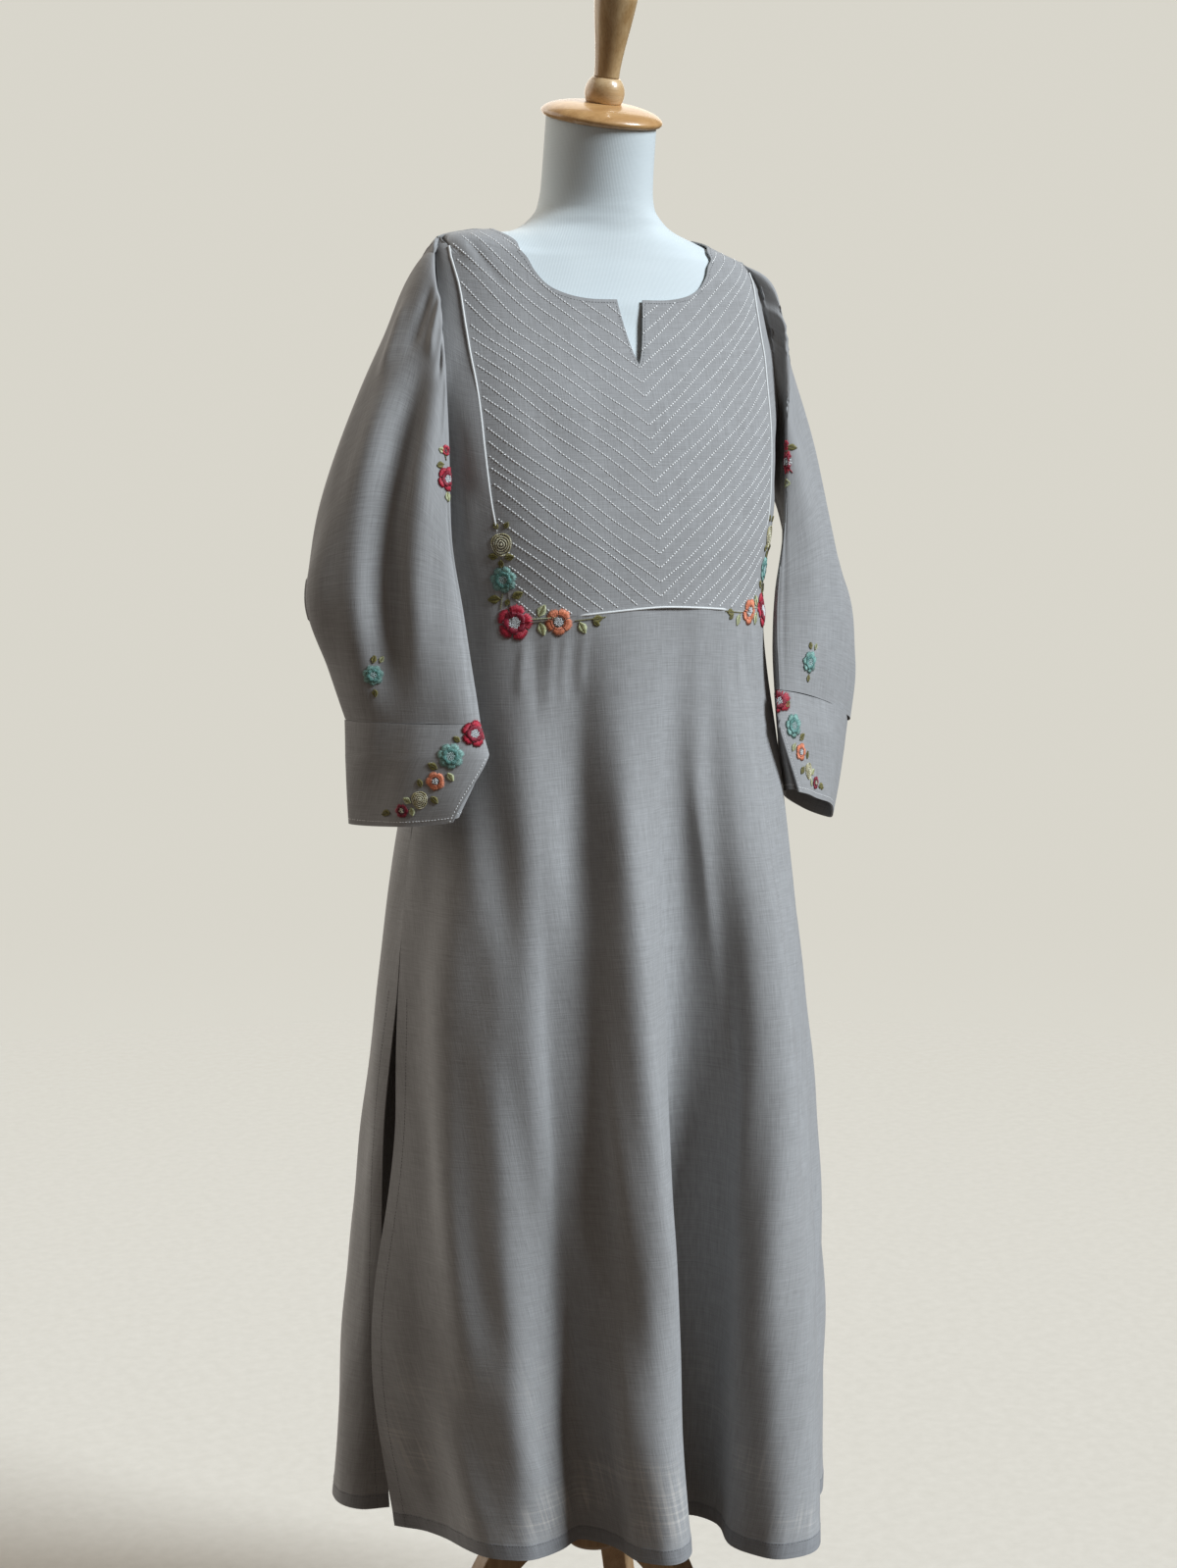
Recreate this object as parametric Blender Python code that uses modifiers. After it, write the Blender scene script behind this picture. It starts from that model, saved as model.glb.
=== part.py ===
"""A long kurta tunic on a dress form with a wooden neck cap and a tripod stand.

Metres, +Z up. The pole stands on the origin, the front faces -Y and the wearer's right is -X.
Distances named "front" run towards -Y, "out" run away from the middle, and angles run round the
body from the centre front (0) to the side seam (90 degrees) and the centre back (180 degrees).
"""

import functools
import math
from collections import namedtuple

import bmesh
import bpy
import numpy as np
from mathutils import Matrix, Vector

# ---------------------------------------------------------------- driving sizes
HEM_HEIGHT = 0.224          # the hem over the floor
NECK_POINT = 1.431          # where the neckline crosses the shoulder seam
SHOULDER_TIP = 1.411        # the top of the armhole
RIGHT_SHOULDER_LIFT = 0.016  # how much higher the cloth lies on the wearer's right shoulder
UNDERARM = 1.235            # the foot of the armhole
SLIT_TOP = 0.757            # the top of both side slits
FOLD_TOP = 1.06             # where the skirt's folds begin to show
NOTCH_TIP = 1.3145          # the foot of the slit in the neckline
YOKE_BOTTOM = 1.098         # the yoke's lower edge at the centre front
YOKE_DIP = 0.013            # how much lower its corners lie
YOKE_CORNER = 0.130         # the corners' distance from the middle
CLOTH = 0.0012              # thickness of the plain linen wall
CUFF_CLOTH = 0.0018         # the cuffs are doubled
SEAM_GAP = 0.0003           # between pieces that are sewn together
SIDE_GAP = 0.0005           # at the side seams, where the two walls meet at a slight angle
SLEEVE_CLEARANCE = 0.004    # a sleeve's least distance from the body that it hangs beside
PIPING_RADIUS = 0.0013
FORM_CLEARANCE = 0.0018     # between the padded form and the cloth that lies on it
FORM_SINK = 0.0030          # how much deeper the padding lies under the tips of the shoulders
NECK_TOP = 1.5345           # the middle of the form's neck at its cap
NECK_TILT = math.radians(14)  # the cap leans this far to the front
POLE_RADIUS = 0.0125
TORSO_FOOT = 0.765          # the flat foot of the padded torso
FOOT_REACH = 0.246          # from the pole to the tip of each foot
HUB_FOOT, HUB_TOP = 0.172, 0.244
HUB_RADIUS = 0.030
LEG_THICKNESS = 0.025
LEG_DIRECTIONS = (20, 140, 260)   # degrees from the front, towards the wearer's left
BASE_BOARD = 0.012          # the board that closes the foot of the torso

# ---------------------------------------------------------------- tables
Section = namedtuple("Section", "height half_width front back squareness lean")

# Outside of the cloth, which lies on the form from the neck to the bust and hangs free below it.
BODY = tuple(Section(*row) for row in (
    # height, half width, front, back, squareness, lean of the middle to the front
    (0.224, 0.240, 0.180, 0.205, 2.0, 0.0),
    (0.570, 0.220, 0.167, 0.154, 2.0, 0.0),
    (0.776, 0.204, 0.149, 0.139, 2.0, 0.0),
    (0.865, 0.193, 0.138, 0.134, 2.0, 0.0),
    (0.950, 0.182, 0.128, 0.128, 2.0, 0.0),
    (1.030, 0.173, 0.123, 0.110, 2.0, 0.0),
    (1.098, 0.171, 0.120, 0.103, 2.05, 0.0),
    (1.150, 0.175, 0.117, 0.105, 2.2, 0.0),
    (1.204, 0.180, 0.109, 0.108, 2.4, 0.0),
    (1.260, 0.184, 0.098, 0.108, 2.45, 0.0),
    (1.3145, 0.185, 0.081, 0.104, 2.4, 0.0),
    (1.350, 0.181, 0.070, 0.097, 2.25, 0.0),
    (1.385, 0.173, 0.061, 0.086, 2.1, 0.0),
    (1.400, 0.167, 0.058, 0.079, 2.0, 0.0),
    (1.411, 0.158, 0.056, 0.073, 1.95, 0.0),
    (1.420, 0.134, 0.055, 0.068, 1.9, 0.0),
    (1.431, 0.105, 0.054, 0.062, 1.9, 0.0),
    (1.440, 0.080, 0.053, 0.057, 1.9, 0.001),
    (1.448, 0.067, 0.053, 0.055, 2.0, 0.0015),
    (1.458, 0.0585, 0.0535, 0.054, 2.0, 0.002),
    (1.475, 0.0552, 0.0535, 0.0535, 2.0, 0.004),
    (1.5345, 0.0535, 0.0535, 0.0535, 2.0, 0.012),
))

# The padded torso under the cloth, up to where it fills the bodice.
TORSO = tuple(Section(*row) for row in (
    (0.765, 0.150, 0.095, 0.112, 2.1, 0.0),
    (0.785, 0.158, 0.100, 0.120, 2.1, 0.0),
    (0.860, 0.165, 0.102, 0.124, 2.1, 0.0),
    (0.950, 0.146, 0.090, 0.105, 2.1, 0.0),
    (1.030, 0.118, 0.080, 0.086, 2.1, 0.0),
    (1.100, 0.124, 0.090, 0.086, 2.1, 0.0),
    (1.160, 0.137, 0.104, 0.092, 2.2, 0.0),
    (1.204, 0.146, 0.105, 0.098, 2.4, 0.0),
    (1.260, 0.150, 0.094, 0.101, 2.5, 0.0),
    (1.3145, 0.156, 0.078, 0.100, 2.5, 0.0),
    (1.350, 0.163, 0.068, 0.094, 2.3, 0.0),
))

# The hem seen from above, one row for each turn of its folds: distance out to the wearer's left,
# and to the front. Each panel runs from the wearer's right slit to the left one.
Turn = namedtuple("Turn", "left front")
FRONT_HEM = tuple(Turn(*row) for row in (
    (-0.206, -0.020),   # slit corner
    (-0.178, 0.022),
    (-0.170, 0.076),
    (-0.138, 0.114),    # ridge
    (-0.098, 0.108),
    (-0.069, 0.093),    # trough
    (-0.054, 0.120),
    (-0.050, 0.164),
    (-0.022, 0.186),    # ridge
    (0.009, 0.168),
    (0.025, 0.118),
    (0.045, 0.097),     # deep trough
    (0.060, 0.122),
    (0.046, 0.178),
    (0.062, 0.224),     # ridge
    (0.102, 0.229),
    (0.130, 0.197),
    (0.142, 0.152),     # trough
    (0.176, 0.126),
    (0.212, 0.088),     # ridge
    (0.214, 0.024),     # slit corner
))
BACK_HEM = tuple(Turn(*row) for row in (
    (-0.190, -0.062),   # slit corner
    (-0.219, -0.072),
    (-0.230, -0.104),   # ridge
    (-0.204, -0.150),
    (-0.158, -0.160),   # trough
    (-0.128, -0.196),
    (-0.088, -0.218),   # ridge
    (-0.048, -0.192),
    (-0.020, -0.166),   # trough
    (0.014, -0.190),
    (0.056, -0.222),    # ridge
    (0.094, -0.200),
    (0.120, -0.162),    # trough
    (0.158, -0.158),
    (0.204, -0.140),    # ridge
    (0.230, -0.094),
    (0.216, -0.034),    # slit corner
))

# The slits' edges bow on their way down. A height is a bow's middle, and it goes out and to the front.
Bow = namedtuple("Bow", "panel side height half_length out front")
BOWS = tuple(Bow(*row) for row in (
    ("front", -1, 0.400, 0.230, 0.024, 0.000),
    ("front", 1, 0.290, 0.120, -0.010, 0.004),
    ("back", 1, 0.400, 0.150, 0.018, 0.020),
))
BOW_SHARE = 0.30            # of the panel's half width follows its edge's bow

# The yoke's outer seam on one side, and the front and back necklines.
Mark = namedtuple("Mark", "out height")
YOKE_SIDE = tuple(Mark(*row) for row in (
    (YOKE_CORNER, YOKE_BOTTOM - YOKE_DIP),
    (0.1425, 1.165),
    (0.148, 1.200),
    (0.1525, 1.277),
    (0.155, 1.320),
    (0.156, 1.360),
    (0.1575, 1.388),
    (0.1585, 1.402),
))
FRONT_NECK = tuple(Mark(*row) for row in (
    (0.0135, 1.3725),
    (0.040, 1.3728),
    (0.062, 1.3765),
    (0.079, 1.384),
    (0.0905, 1.396),
    (0.098, 1.409),
    (0.103, 1.422),
))
BACK_NECK = tuple(Mark(*row) for row in (
    (0.0, 1.4175),
    (0.030, 1.4180),
    (0.060, 1.4205),
    (0.085, 1.425),
    (0.099, 1.429),
))

# One sleeve's sections, each by its crown, front fold, underside and back fold: out, front, height.
Ring = namedtuple("Ring", "crown front_fold under back_fold")
RIGHT_SLEEVE = tuple(Ring(*row) for row in (
    ((0.185, 0.012, 1.384), (0.180, 0.050, 1.300), (0.1845, 0.000, 1.212), (0.200, -0.040, 1.300)),
    ((0.212, 0.030, 1.320), (0.184, 0.061, 1.235), (0.193, 0.004, 1.180), (0.238, -0.032, 1.245)),
    ((0.243, 0.045, 1.225), (0.183, 0.068, 1.165), (0.205, 0.008, 1.135), (0.275, -0.020, 1.170)),
    ((0.245, 0.052, 1.115), (0.172, 0.068, 1.100), (0.215, -0.002, 1.095), (0.294, -0.010, 1.105)),
    ((0.232, 0.055, 1.045), (0.168, 0.074, 1.043), (0.206, 0.004, 1.042), (0.272, -0.008, 1.045)),
    ((0.220, 0.058, 0.999), (0.165, 0.080, 0.999), (0.204, 0.010, 0.999), (0.258, -0.002, 0.999)),
))
RIGHT_CUFF = tuple(Ring(*row) for row in (
    ((0.220, 0.058, 0.9984), (0.165, 0.080, 0.9984), (0.204, 0.010, 0.9984), (0.258, -0.002, 0.9984)),
    ((0.215, 0.058, 0.955), (0.167, 0.083, 0.957), (0.204, 0.012, 0.957), (0.254, -0.002, 0.953)),
    ((0.214, 0.057, 0.908), (0.186, 0.080, 0.917), (0.206, 0.012, 0.912), (0.251, -0.002, 0.904)),
))
LEFT_SLEEVE = tuple(Ring(*row) for row in (
    ((0.187, 0.012, 1.391), (0.182, 0.048, 1.300), (0.188, 0.000, 1.212), (0.193, -0.040, 1.300)),
    ((0.200, 0.024, 1.322), (0.188, 0.059, 1.235), (0.193, 0.004, 1.180), (0.217, -0.034, 1.240)),
    ((0.224, 0.038, 1.225), (0.180, 0.067, 1.165), (0.203, 0.006, 1.135), (0.254, -0.026, 1.160)),
    ((0.243, 0.046, 1.115), (0.166, 0.069, 1.105), (0.215, -0.002, 1.095), (0.288, -0.014, 1.095)),
    ((0.246, 0.046, 1.045), (0.163, 0.074, 1.060), (0.214, 0.002, 1.042), (0.300, -0.012, 1.025)),
    ((0.238, 0.046, 0.992), (0.163, 0.079, 1.012), (0.212, 0.006, 0.988), (0.294, -0.008, 0.966)),
))
LEFT_CUFF = tuple(Ring(*row) for row in (
    ((0.238, 0.046, 0.9910), (0.163, 0.079, 1.0110), (0.212, 0.006, 0.9870), (0.294, -0.008, 0.9650)),
    ((0.231, 0.047, 0.944), (0.165, 0.082, 0.964), (0.211, 0.009, 0.942), (0.286, -0.008, 0.918)),
    ((0.227, 0.048, 0.897), (0.176, 0.080, 0.916), (0.210, 0.010, 0.893), (0.277, -0.008, 0.869)),
))

# How finely each piece is divided
WING_COLUMNS = 5        # side seam or armhole to the yoke's seam
YOKE_COLUMNS = 13       # the yoke's seam to the centre front
NOTCH_COLUMNS = 3       # those of them that meet the notch
SIDE_ROWS = 4           # yoke's corner to the underarm
ARMHOLE_ROWS = 8        # underarm to the top of the yoke's seam
SEAM_ROWS = 3           # along the shoulder seam
SKIRT_ROWS = 11
BACK_COLUMNS = 32
SLEEVE_SPANS = 3        # rows in each span between two sleeve sections
CUFF_COLUMNS = 30
FORM_COLUMNS = 34

PETAL_TOP = 0.38        # where the petal's cut starts, as a share of the cuff's height


# ---------------------------------------------------------------- curves and the body's surface
def monotone(xs, ys, x):
    """A smooth curve through the points that never overshoots them (Fritsch and Carlson)."""
    xs, ys = np.asarray(xs, float), np.asarray(ys, float)
    step = np.diff(xs)
    slope = np.diff(ys) / step
    tangent = np.zeros(len(xs))
    same = slope[:-1] * slope[1:] > 0
    weight_a, weight_b = 2 * step[1:] + step[:-1], step[1:] + 2 * step[:-1]
    inner = (weight_a + weight_b)[same] / (weight_a[same] / slope[:-1][same] + weight_b[same] / slope[1:][same])
    tangent[1:-1][same] = inner
    tangent[0], tangent[-1] = slope[0], slope[-1]
    k = int(np.clip(np.searchsorted(xs, x) - 1, 0, len(step) - 1))
    t = min(max((x - xs[k]) / step[k], 0.0), 1.0)
    return (
        ys[k] * (1 + 2 * t) * (1 - t) ** 2
        + step[k] * tangent[k] * t * (1 - t) ** 2
        + ys[k + 1] * t * t * (3 - 2 * t)
        + step[k] * tangent[k + 1] * t * t * (t - 1)
    )


def rounded(points, per_span=8):
    """A Catmull-Rom curve through the points."""
    points = np.asarray(points, float)
    ends = np.vstack([2 * points[0] - points[1], points, 2 * points[-1] - points[-2]])
    curve = []
    for a, b, c, d in zip(ends, ends[1:], ends[2:], ends[3:]):
        for t in np.arange(per_span) / per_span:
            curve.append(0.5 * (2 * b + (c - a) * t + (2 * a - 5 * b + 4 * c - d) * t**2
                                + (3 * b - a - 3 * c + d) * t**3))
    return np.array(curve + [points[-1]])


def spaced(curve, count, solid=None):
    """count + 1 points along the curve, evenly far apart on the solid form that it maps to."""
    curve = np.asarray(curve, float)
    placed = curve if solid is None else np.array([solid(*point) for point in curve])
    length = np.concatenate([[0], np.cumsum(np.linalg.norm(np.diff(placed, axis=0), axis=1))])
    at = np.linspace(0, length[-1], count + 1)
    return np.column_stack([np.interp(at, length, curve[:, k]) for k in range(curve.shape[1])])


def section(table, height):
    heights = [row.height for row in table]
    return Section(height, *(monotone(heights, [row[k] for row in table], height) for k in range(1, 6)))


def oval(table, angle, height):
    """A point of the table's surface, by its angle from the centre front."""
    cut = section(table, height)
    across, along = math.sin(angle), math.cos(angle)
    power = 2 / cut.squareness
    x = cut.half_width * math.copysign(abs(across) ** power, across)
    depth = cut.front if along >= 0 else cut.back
    return np.array([x, -depth * math.copysign(abs(along) ** power, along) - cut.lean, height])


def angle_of(out, height):
    """The angle from the centre line at which the body's section lies this far out."""
    cut = section(BODY, height)
    return math.asin(min(1.0, (out / cut.half_width) ** (cut.squareness / 2)))


def outward(surface, angle, height, step=1e-3):
    """The surface's unit normal, away from the body."""
    round_it = surface(angle + step, height) - surface(angle - step, height)
    up_it = surface(angle, height + step) - surface(angle, height - step)
    normal = np.cross(round_it, up_it)
    return normal / np.linalg.norm(normal)


def body(angle, height):
    return oval(BODY, angle, height)


def body_back(angle, height):
    return oval(BODY, math.pi - angle, height)


@functools.cache
def quarter(height, back):
    """Angles from the centre line to the side seam, and the cloth's length up to each of them."""
    angles = np.linspace(0, math.pi / 2, 33)
    surface = body_back if back else body
    points = np.array([surface(angle, height) for angle in angles])
    return angles, np.concatenate([[0], np.cumsum(np.linalg.norm(np.diff(points, axis=0), axis=1))])


def share_angle(share, height, back=False):
    """The angle at this share of the way, along the cloth, from the centre line to the side seam."""
    angles, length = quarter(height, back)
    return math.copysign(np.interp(abs(share) * length[-1], length, angles), share)


def angle_share(angle, height):
    angles, length = quarter(height, False)
    return np.interp(angle, angles, length) / length[-1]


def hem_curve(turns):
    return rounded([(turn.left, -turn.front) for turn in turns])


def on_hem(curve, share):
    """A point of the hem at a share from -1, the wearer's right slit, to 1."""
    length = np.concatenate([[0], np.cumsum(np.linalg.norm(np.diff(curve, axis=0), axis=1))])
    at = (share + 1) / 2 * length[-1]
    return np.array([np.interp(at, length, curve[:, 0]), np.interp(at, length, curve[:, 1]), HEM_HEIGHT])


FRONT_CURVE = hem_curve(FRONT_HEM)
BACK_CURVE = hem_curve(BACK_HEM)


def eased(share):
    share = min(max(share, 0.0), 1.0)
    return share * share * (3 - 2 * share)


def loose(share, height, back):
    """A panel that hangs by itself: the body's smooth section turns into the hem's folds."""
    surface = body_back if back else body
    smooth = surface(share_angle(share, height, back), height)
    depth = max(FOLD_TOP - height, 0) / (FOLD_TOP - HEM_HEIGHT)
    folded = on_hem(BACK_CURVE if back else FRONT_CURVE, share)
    weight = depth ** (1.8 if back else 1.35)
    flat = smooth * (1 - weight) + folded * weight
    return np.array([flat[0], flat[1], height])


def hanging(share, height, back=False):
    """The skirt. Its panels' edges run together down to the slits, and part below them."""
    point = loose(share, height, back)
    if height >= FOLD_TOP:
        return point
    side = math.copysign(1, share)
    sewn = max(height, SLIT_TOP)
    apart = (loose(side, sewn, not back) - loose(side, sewn, back)) / 2
    held = min((height - HEM_HEIGHT) / (SLIT_TOP - HEM_HEIGHT), 1.0) ** 1.5
    point = point + apart * held * eased((abs(share) - 0.7) / 0.3)
    for bow in BOWS:
        if bow.side == side and (bow.panel == "back") == back:
            reach = eased(1 - abs(height - bow.height) / bow.half_length)
            reach *= eased((abs(share) - 1 + BOW_SHARE) / BOW_SHARE)
            point = point + np.array((side * bow.out, -bow.front, 0)) * reach
    return point


def settled(point):
    """The cloth and the form's padding under it lie a little higher on the wearer's right shoulder."""
    out, height = eased((-point[0] - 0.075) / 0.080), eased((point[2] - 1.335) / 0.070)
    return np.array((point[0], point[1], point[2] + RIGHT_SHOULDER_LIFT * out * height))


def patch(bottom, top, right, left):
    """A Coons patch in (angle, height) between four edges. Rows run up, columns from right to left."""
    rows, columns = len(right), len(bottom)
    even = np.linspace(0, 1, columns)
    # Columns that crowd together at the start of the top edge stay as close on their way up.
    crowded = even * even + (1 - even) * (top[:, 0] - top[0, 0]) / (top[-1, 0] - top[0, 0])
    grid = np.zeros((rows, columns, 2))
    for i, t in enumerate(np.linspace(0, 1, rows)):
        for j in range(columns):
            s = (1 - t) * even[j] + t * crowded[j]
            grid[i, j] = (
                (1 - t) * bottom[j] + t * top[j] + (1 - s) * right[i] + s * left[i]
                - (1 - s) * (1 - t) * bottom[0] - s * (1 - t) * bottom[-1]
                - (1 - s) * t * top[0] - s * t * top[-1]
            )
    return grid


# ---------------------------------------------------------------- making objects
def clear_scene():
    for thing in list(bpy.data.objects):
        bpy.data.objects.remove(thing)


def finish(name, colour, roughness, metallic=0.0):
    material = bpy.data.materials.new(name)
    material.use_nodes = True
    shader = material.node_tree.nodes["Principled BSDF"]
    shader.inputs["Base Color"].default_value = (*colour, 1.0)
    shader.inputs["Roughness"].default_value = roughness
    shader.inputs["Metallic"].default_value = metallic
    return material


def new_object(name, data, material):
    thing = bpy.data.objects.new(name, data)
    data.materials.append(material)
    KURTA.objects.link(thing)
    return thing


def loft(name, grids, material, round_it=False, caps=False):
    """One mesh through one or more grids of points, which share the points along common edges."""
    mesh = bpy.data.meshes.new(name)
    made = bmesh.new()
    for grid in grids:
        rows = [[made.verts.new(settled(point)) for point in row] for row in grid]
        for low, high in zip(rows, rows[1:]):
            columns = len(low) if round_it else len(low) - 1
            for j in range(columns):
                k = (j + 1) % len(low)
                made.faces.new((low[j], low[k], high[k], high[j]))
        if caps:
            made.faces.new(rows[0][::-1])
            made.faces.new(rows[-1])
    bmesh.ops.remove_doubles(made, verts=made.verts, dist=1e-6)
    made.to_mesh(mesh)
    made.free()
    mesh.shade_smooth()
    return new_object(name, mesh, material)


def wall(thing, thickness):
    """Gives an open surface, whose faces point out, its thickness on the inside."""
    solidify = thing.modifiers.new("Cloth", "SOLIDIFY")
    solidify.thickness = thickness
    solidify.offset = -1
    return thing


def mirrored(grid):
    """The same grid for the other side of the body, with its faces still pointing out."""
    flipped = np.array(grid)[:, ::-1].copy()
    flipped[..., 0] *= -1
    return flipped


def turned(name, profile, material, steps=32):
    """A turned piece: its profile, of (radius, height) from the top down, spun about the Z axis."""
    mesh = bpy.data.meshes.new(name)
    made = bmesh.new()
    points = [made.verts.new((radius, 0, height)) for radius, height in profile]
    for a, b in zip(points, points[1:]):
        made.edges.new((a, b))
    made.to_mesh(mesh)
    made.free()
    thing = new_object(name, mesh, material)
    screw = thing.modifiers.new("Turned", "SCREW")
    screw.steps = screw.render_steps = steps
    screw.use_merge_vertices = True
    screw.merge_threshold = 0.0001
    screw.use_smooth_shade = True
    return thing


# ---------------------------------------------------------------- the pieces' edges on the body
def armhole_angle(height, inset):
    """How far the armhole's edge lies round the body, which it cuts into between its two ends."""
    share = (height - UNDERARM) / (SHOULDER_TIP - UNDERARM)
    return math.radians(90 - inset * math.sin(math.pi * min(max(share, 0), 1)) ** 0.8)


FRONT_INSET, BACK_INSET = 22, 15     # degrees
ARMHOLE_HEIGHTS = UNDERARM + (SHOULDER_TIP - UNDERARM) * (
    1 - np.cos(np.linspace(0, math.pi, ARMHOLE_ROWS + 2))) / 2
SEAM_HEIGHTS = np.linspace(SHOULDER_TIP, NECK_POINT, SEAM_ROWS + 1)
FRONT_ARMHOLE = np.array([(armhole_angle(z, FRONT_INSET), z) for z in ARMHOLE_HEIGHTS])
BACK_ARMHOLE = np.array([(armhole_angle(z, BACK_INSET), z) for z in ARMHOLE_HEIGHTS])
SHOULDER_SEAM = np.array([(math.pi / 2, z) for z in SEAM_HEIGHTS])
SIDE_HEIGHTS = np.linspace(YOKE_BOTTOM - YOKE_DIP, UNDERARM, SIDE_ROWS + 1)
CORNER_SHARE = angle_share(angle_of(YOKE_CORNER, YOKE_BOTTOM - YOKE_DIP), YOKE_BOTTOM - YOKE_DIP)


def yoke_edge_height(share):
    """The yoke's lower edge, which dips to its corners and runs on level to the side seams."""
    return YOKE_BOTTOM - YOKE_DIP * min(abs(share) / CORNER_SHARE, 1.0) ** 1.5


def on_body(marks):
    return np.array([(angle_of(mark.out, mark.height), mark.height) for mark in marks])


def yoke_seam():
    """The yoke's outer seam, with the rows of the side panel beside it."""
    curve = rounded(on_body(YOKE_SIDE))
    rise = np.linspace(curve[0][1], curve[-1][1], SIDE_ROWS + ARMHOLE_ROWS + 1)
    return np.array([(np.interp(z, curve[:, 1], curve[:, 0]), z) for z in rise])


# ---------------------------------------------------------------- the kurta
def make_yoke(name, left, material):
    """Half of the quilted yoke, from the centre front to its outer seam and the shoulder seam."""
    shares = np.linspace(0, CORNER_SHARE, YOKE_COLUMNS + 1)
    bottom = np.array([(share_angle(s, yoke_edge_height(s)), yoke_edge_height(s)) for s in shares])
    notch = [(0, NOTCH_TIP), (angle_of(FRONT_NECK[0].out, FRONT_NECK[0].height), FRONT_NECK[0].height)]
    neck = np.vstack([on_body(FRONT_NECK), [(math.pi / 2, NECK_POINT)]])
    top = np.vstack([
        spaced(notch, NOTCH_COLUMNS, body)[:-1],
        spaced(rounded(neck), YOKE_COLUMNS - NOTCH_COLUMNS, body),
    ])
    side = np.vstack([yoke_seam(), SHOULDER_SEAM])
    middle = np.column_stack([np.zeros(len(side)), np.linspace(YOKE_BOTTOM, NOTCH_TIP, len(side))])
    grid = patch(bottom, top, middle, side)
    points = np.array([[body(*spot) for spot in row] for row in grid])
    # Half a seam's gap off the centre front, the lower edge, the outer seam and the shoulder seam.
    points[:, 0, 0] = np.maximum(points[:, 0, 0], SEAM_GAP / 2)
    points[0, :, 2] += SEAM_GAP
    points[:, -1, 1] -= SEAM_GAP
    points[1:-SEAM_ROWS - 1, -1, 0] -= SEAM_GAP / 2
    if not left:
        points = mirrored(points)
    return wall(loft(name, [points], material), CLOTH)


def make_front(material):
    """The front panel: the skirt's front and the two side panels that rise beside the yoke."""
    inner = np.linspace(0, CORNER_SHARE, YOKE_COLUMNS + 1)
    outer = np.linspace(CORNER_SHARE, 1, WING_COLUMNS + 1)[1:]
    half = np.concatenate([inner, outer])
    shares = np.concatenate([-half[:0:-1], half])
    skirt = []
    for rise in np.linspace(0, 1, SKIRT_ROWS + 1):
        skirt.append([hanging(share, HEM_HEIGHT + (yoke_edge_height(share) - HEM_HEIGHT) * rise)
                      for share in shares])
    skirt = np.array(skirt)
    seam = yoke_seam()
    edge = np.vstack([[(math.pi / 2, z) for z in SIDE_HEIGHTS], FRONT_ARMHOLE[1:ARMHOLE_ROWS + 1]])
    wing = []
    for inside, outside in zip(seam, edge):
        wing.append([body(*(inside * (1 - s) + outside * s)) for s in np.linspace(0, 1, WING_COLUMNS + 1)])
    wing = np.array(wing)
    wing[0] = skirt[-1, -WING_COLUMNS - 1:]
    wing[1:, 0, 0] += SEAM_GAP / 2
    wing[:, -1, 1] -= SIDE_GAP / 2
    skirt[:, 0, 1] -= SIDE_GAP / 2
    skirt[:, -1, 1] -= SIDE_GAP / 2
    return wall(loft("front_panel", [skirt, wing, mirrored(wing)], material), CLOTH)


def make_back(material):
    """The back panel, in one piece from the shoulder seams and the neckline to the hem."""
    shares = np.linspace(-1, 1, BACK_COLUMNS + 1)
    skirt = np.array([[hanging(share, height, back=True) for share in shares[::-1]]
                      for height in np.linspace(HEM_HEIGHT, UNDERARM, SKIRT_ROWS + SIDE_ROWS + 1)])
    edge = np.vstack([BACK_ARMHOLE, SHOULDER_SEAM[1:]])
    neck = rounded(np.vstack([on_body(BACK_NECK), [(math.pi / 2, NECK_POINT)]]))
    neck = np.vstack([neck[:0:-1], neck * (-1, 1)])
    top = spaced(neck, BACK_COLUMNS, body_back)
    bottom = np.array([(share_angle(s, UNDERARM, back=True), UNDERARM) for s in shares[::-1]])
    grid = patch(bottom, top, edge, edge * (-1, 1))
    upper = np.array([[body_back(*spot) for spot in row] for row in grid])
    upper[0] = skirt[-1]
    for part in (skirt, upper):
        part[:, 0, 1] += SIDE_GAP / 2
        part[:, -1, 1] += SIDE_GAP / 2
    return wall(loft("back_panel", [skirt, upper], material), CLOTH)


@functools.cache
def reach_round(height):
    """The kurta's outline at this height, as polar angles and reaches, the wider of its two sides."""
    angles = np.radians(np.linspace(30, 150, 61))
    reach = np.zeros(len(angles))
    for side in (-1, 1):
        shares = np.linspace(0.2, 1, 25)
        points = np.array([hanging(side * share, height, back) for back in (False, True) for share in shares])
        polar = np.arctan2(np.abs(points[:, 0]), -points[:, 1])
        order = np.argsort(polar)
        reach = np.maximum(reach, np.interp(angles, polar[order], np.hypot(points[:, 0], points[:, 1])[order]))
    return angles, reach


def clear_of_body(point, margin):
    """Moves a point that would lie inside the skirt or bodice out to a margin over it."""
    height = min(max(round(point[2], 2), HEM_HEIGHT), SHOULDER_TIP)
    limit = np.interp(math.atan2(point[0], -point[1]), *reach_round(height)) + margin
    reach = math.hypot(point[0], point[1])
    if reach < limit:
        point = point.copy()
        point[:2] *= limit / reach
    return point


def ring_points(ring, angles):
    """A closed section through its four named points, drawn out to soft points at the two folds."""
    crown, front, under, back = (np.array((p[0], -p[1], p[2])) for p in ring)
    middle = (crown + front + under + back) / 4
    rise, width = (crown - under) / 2, (front - back) / 2
    skew = (crown + under - front - back) / 4
    points = []
    for angle in angles:
        lift = math.copysign(abs(math.cos(angle)) ** 1.25, math.cos(angle))
        points.append(middle + rise * lift + width * math.sin(angle) + skew * math.cos(2 * angle))
    return np.array(points)


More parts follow.
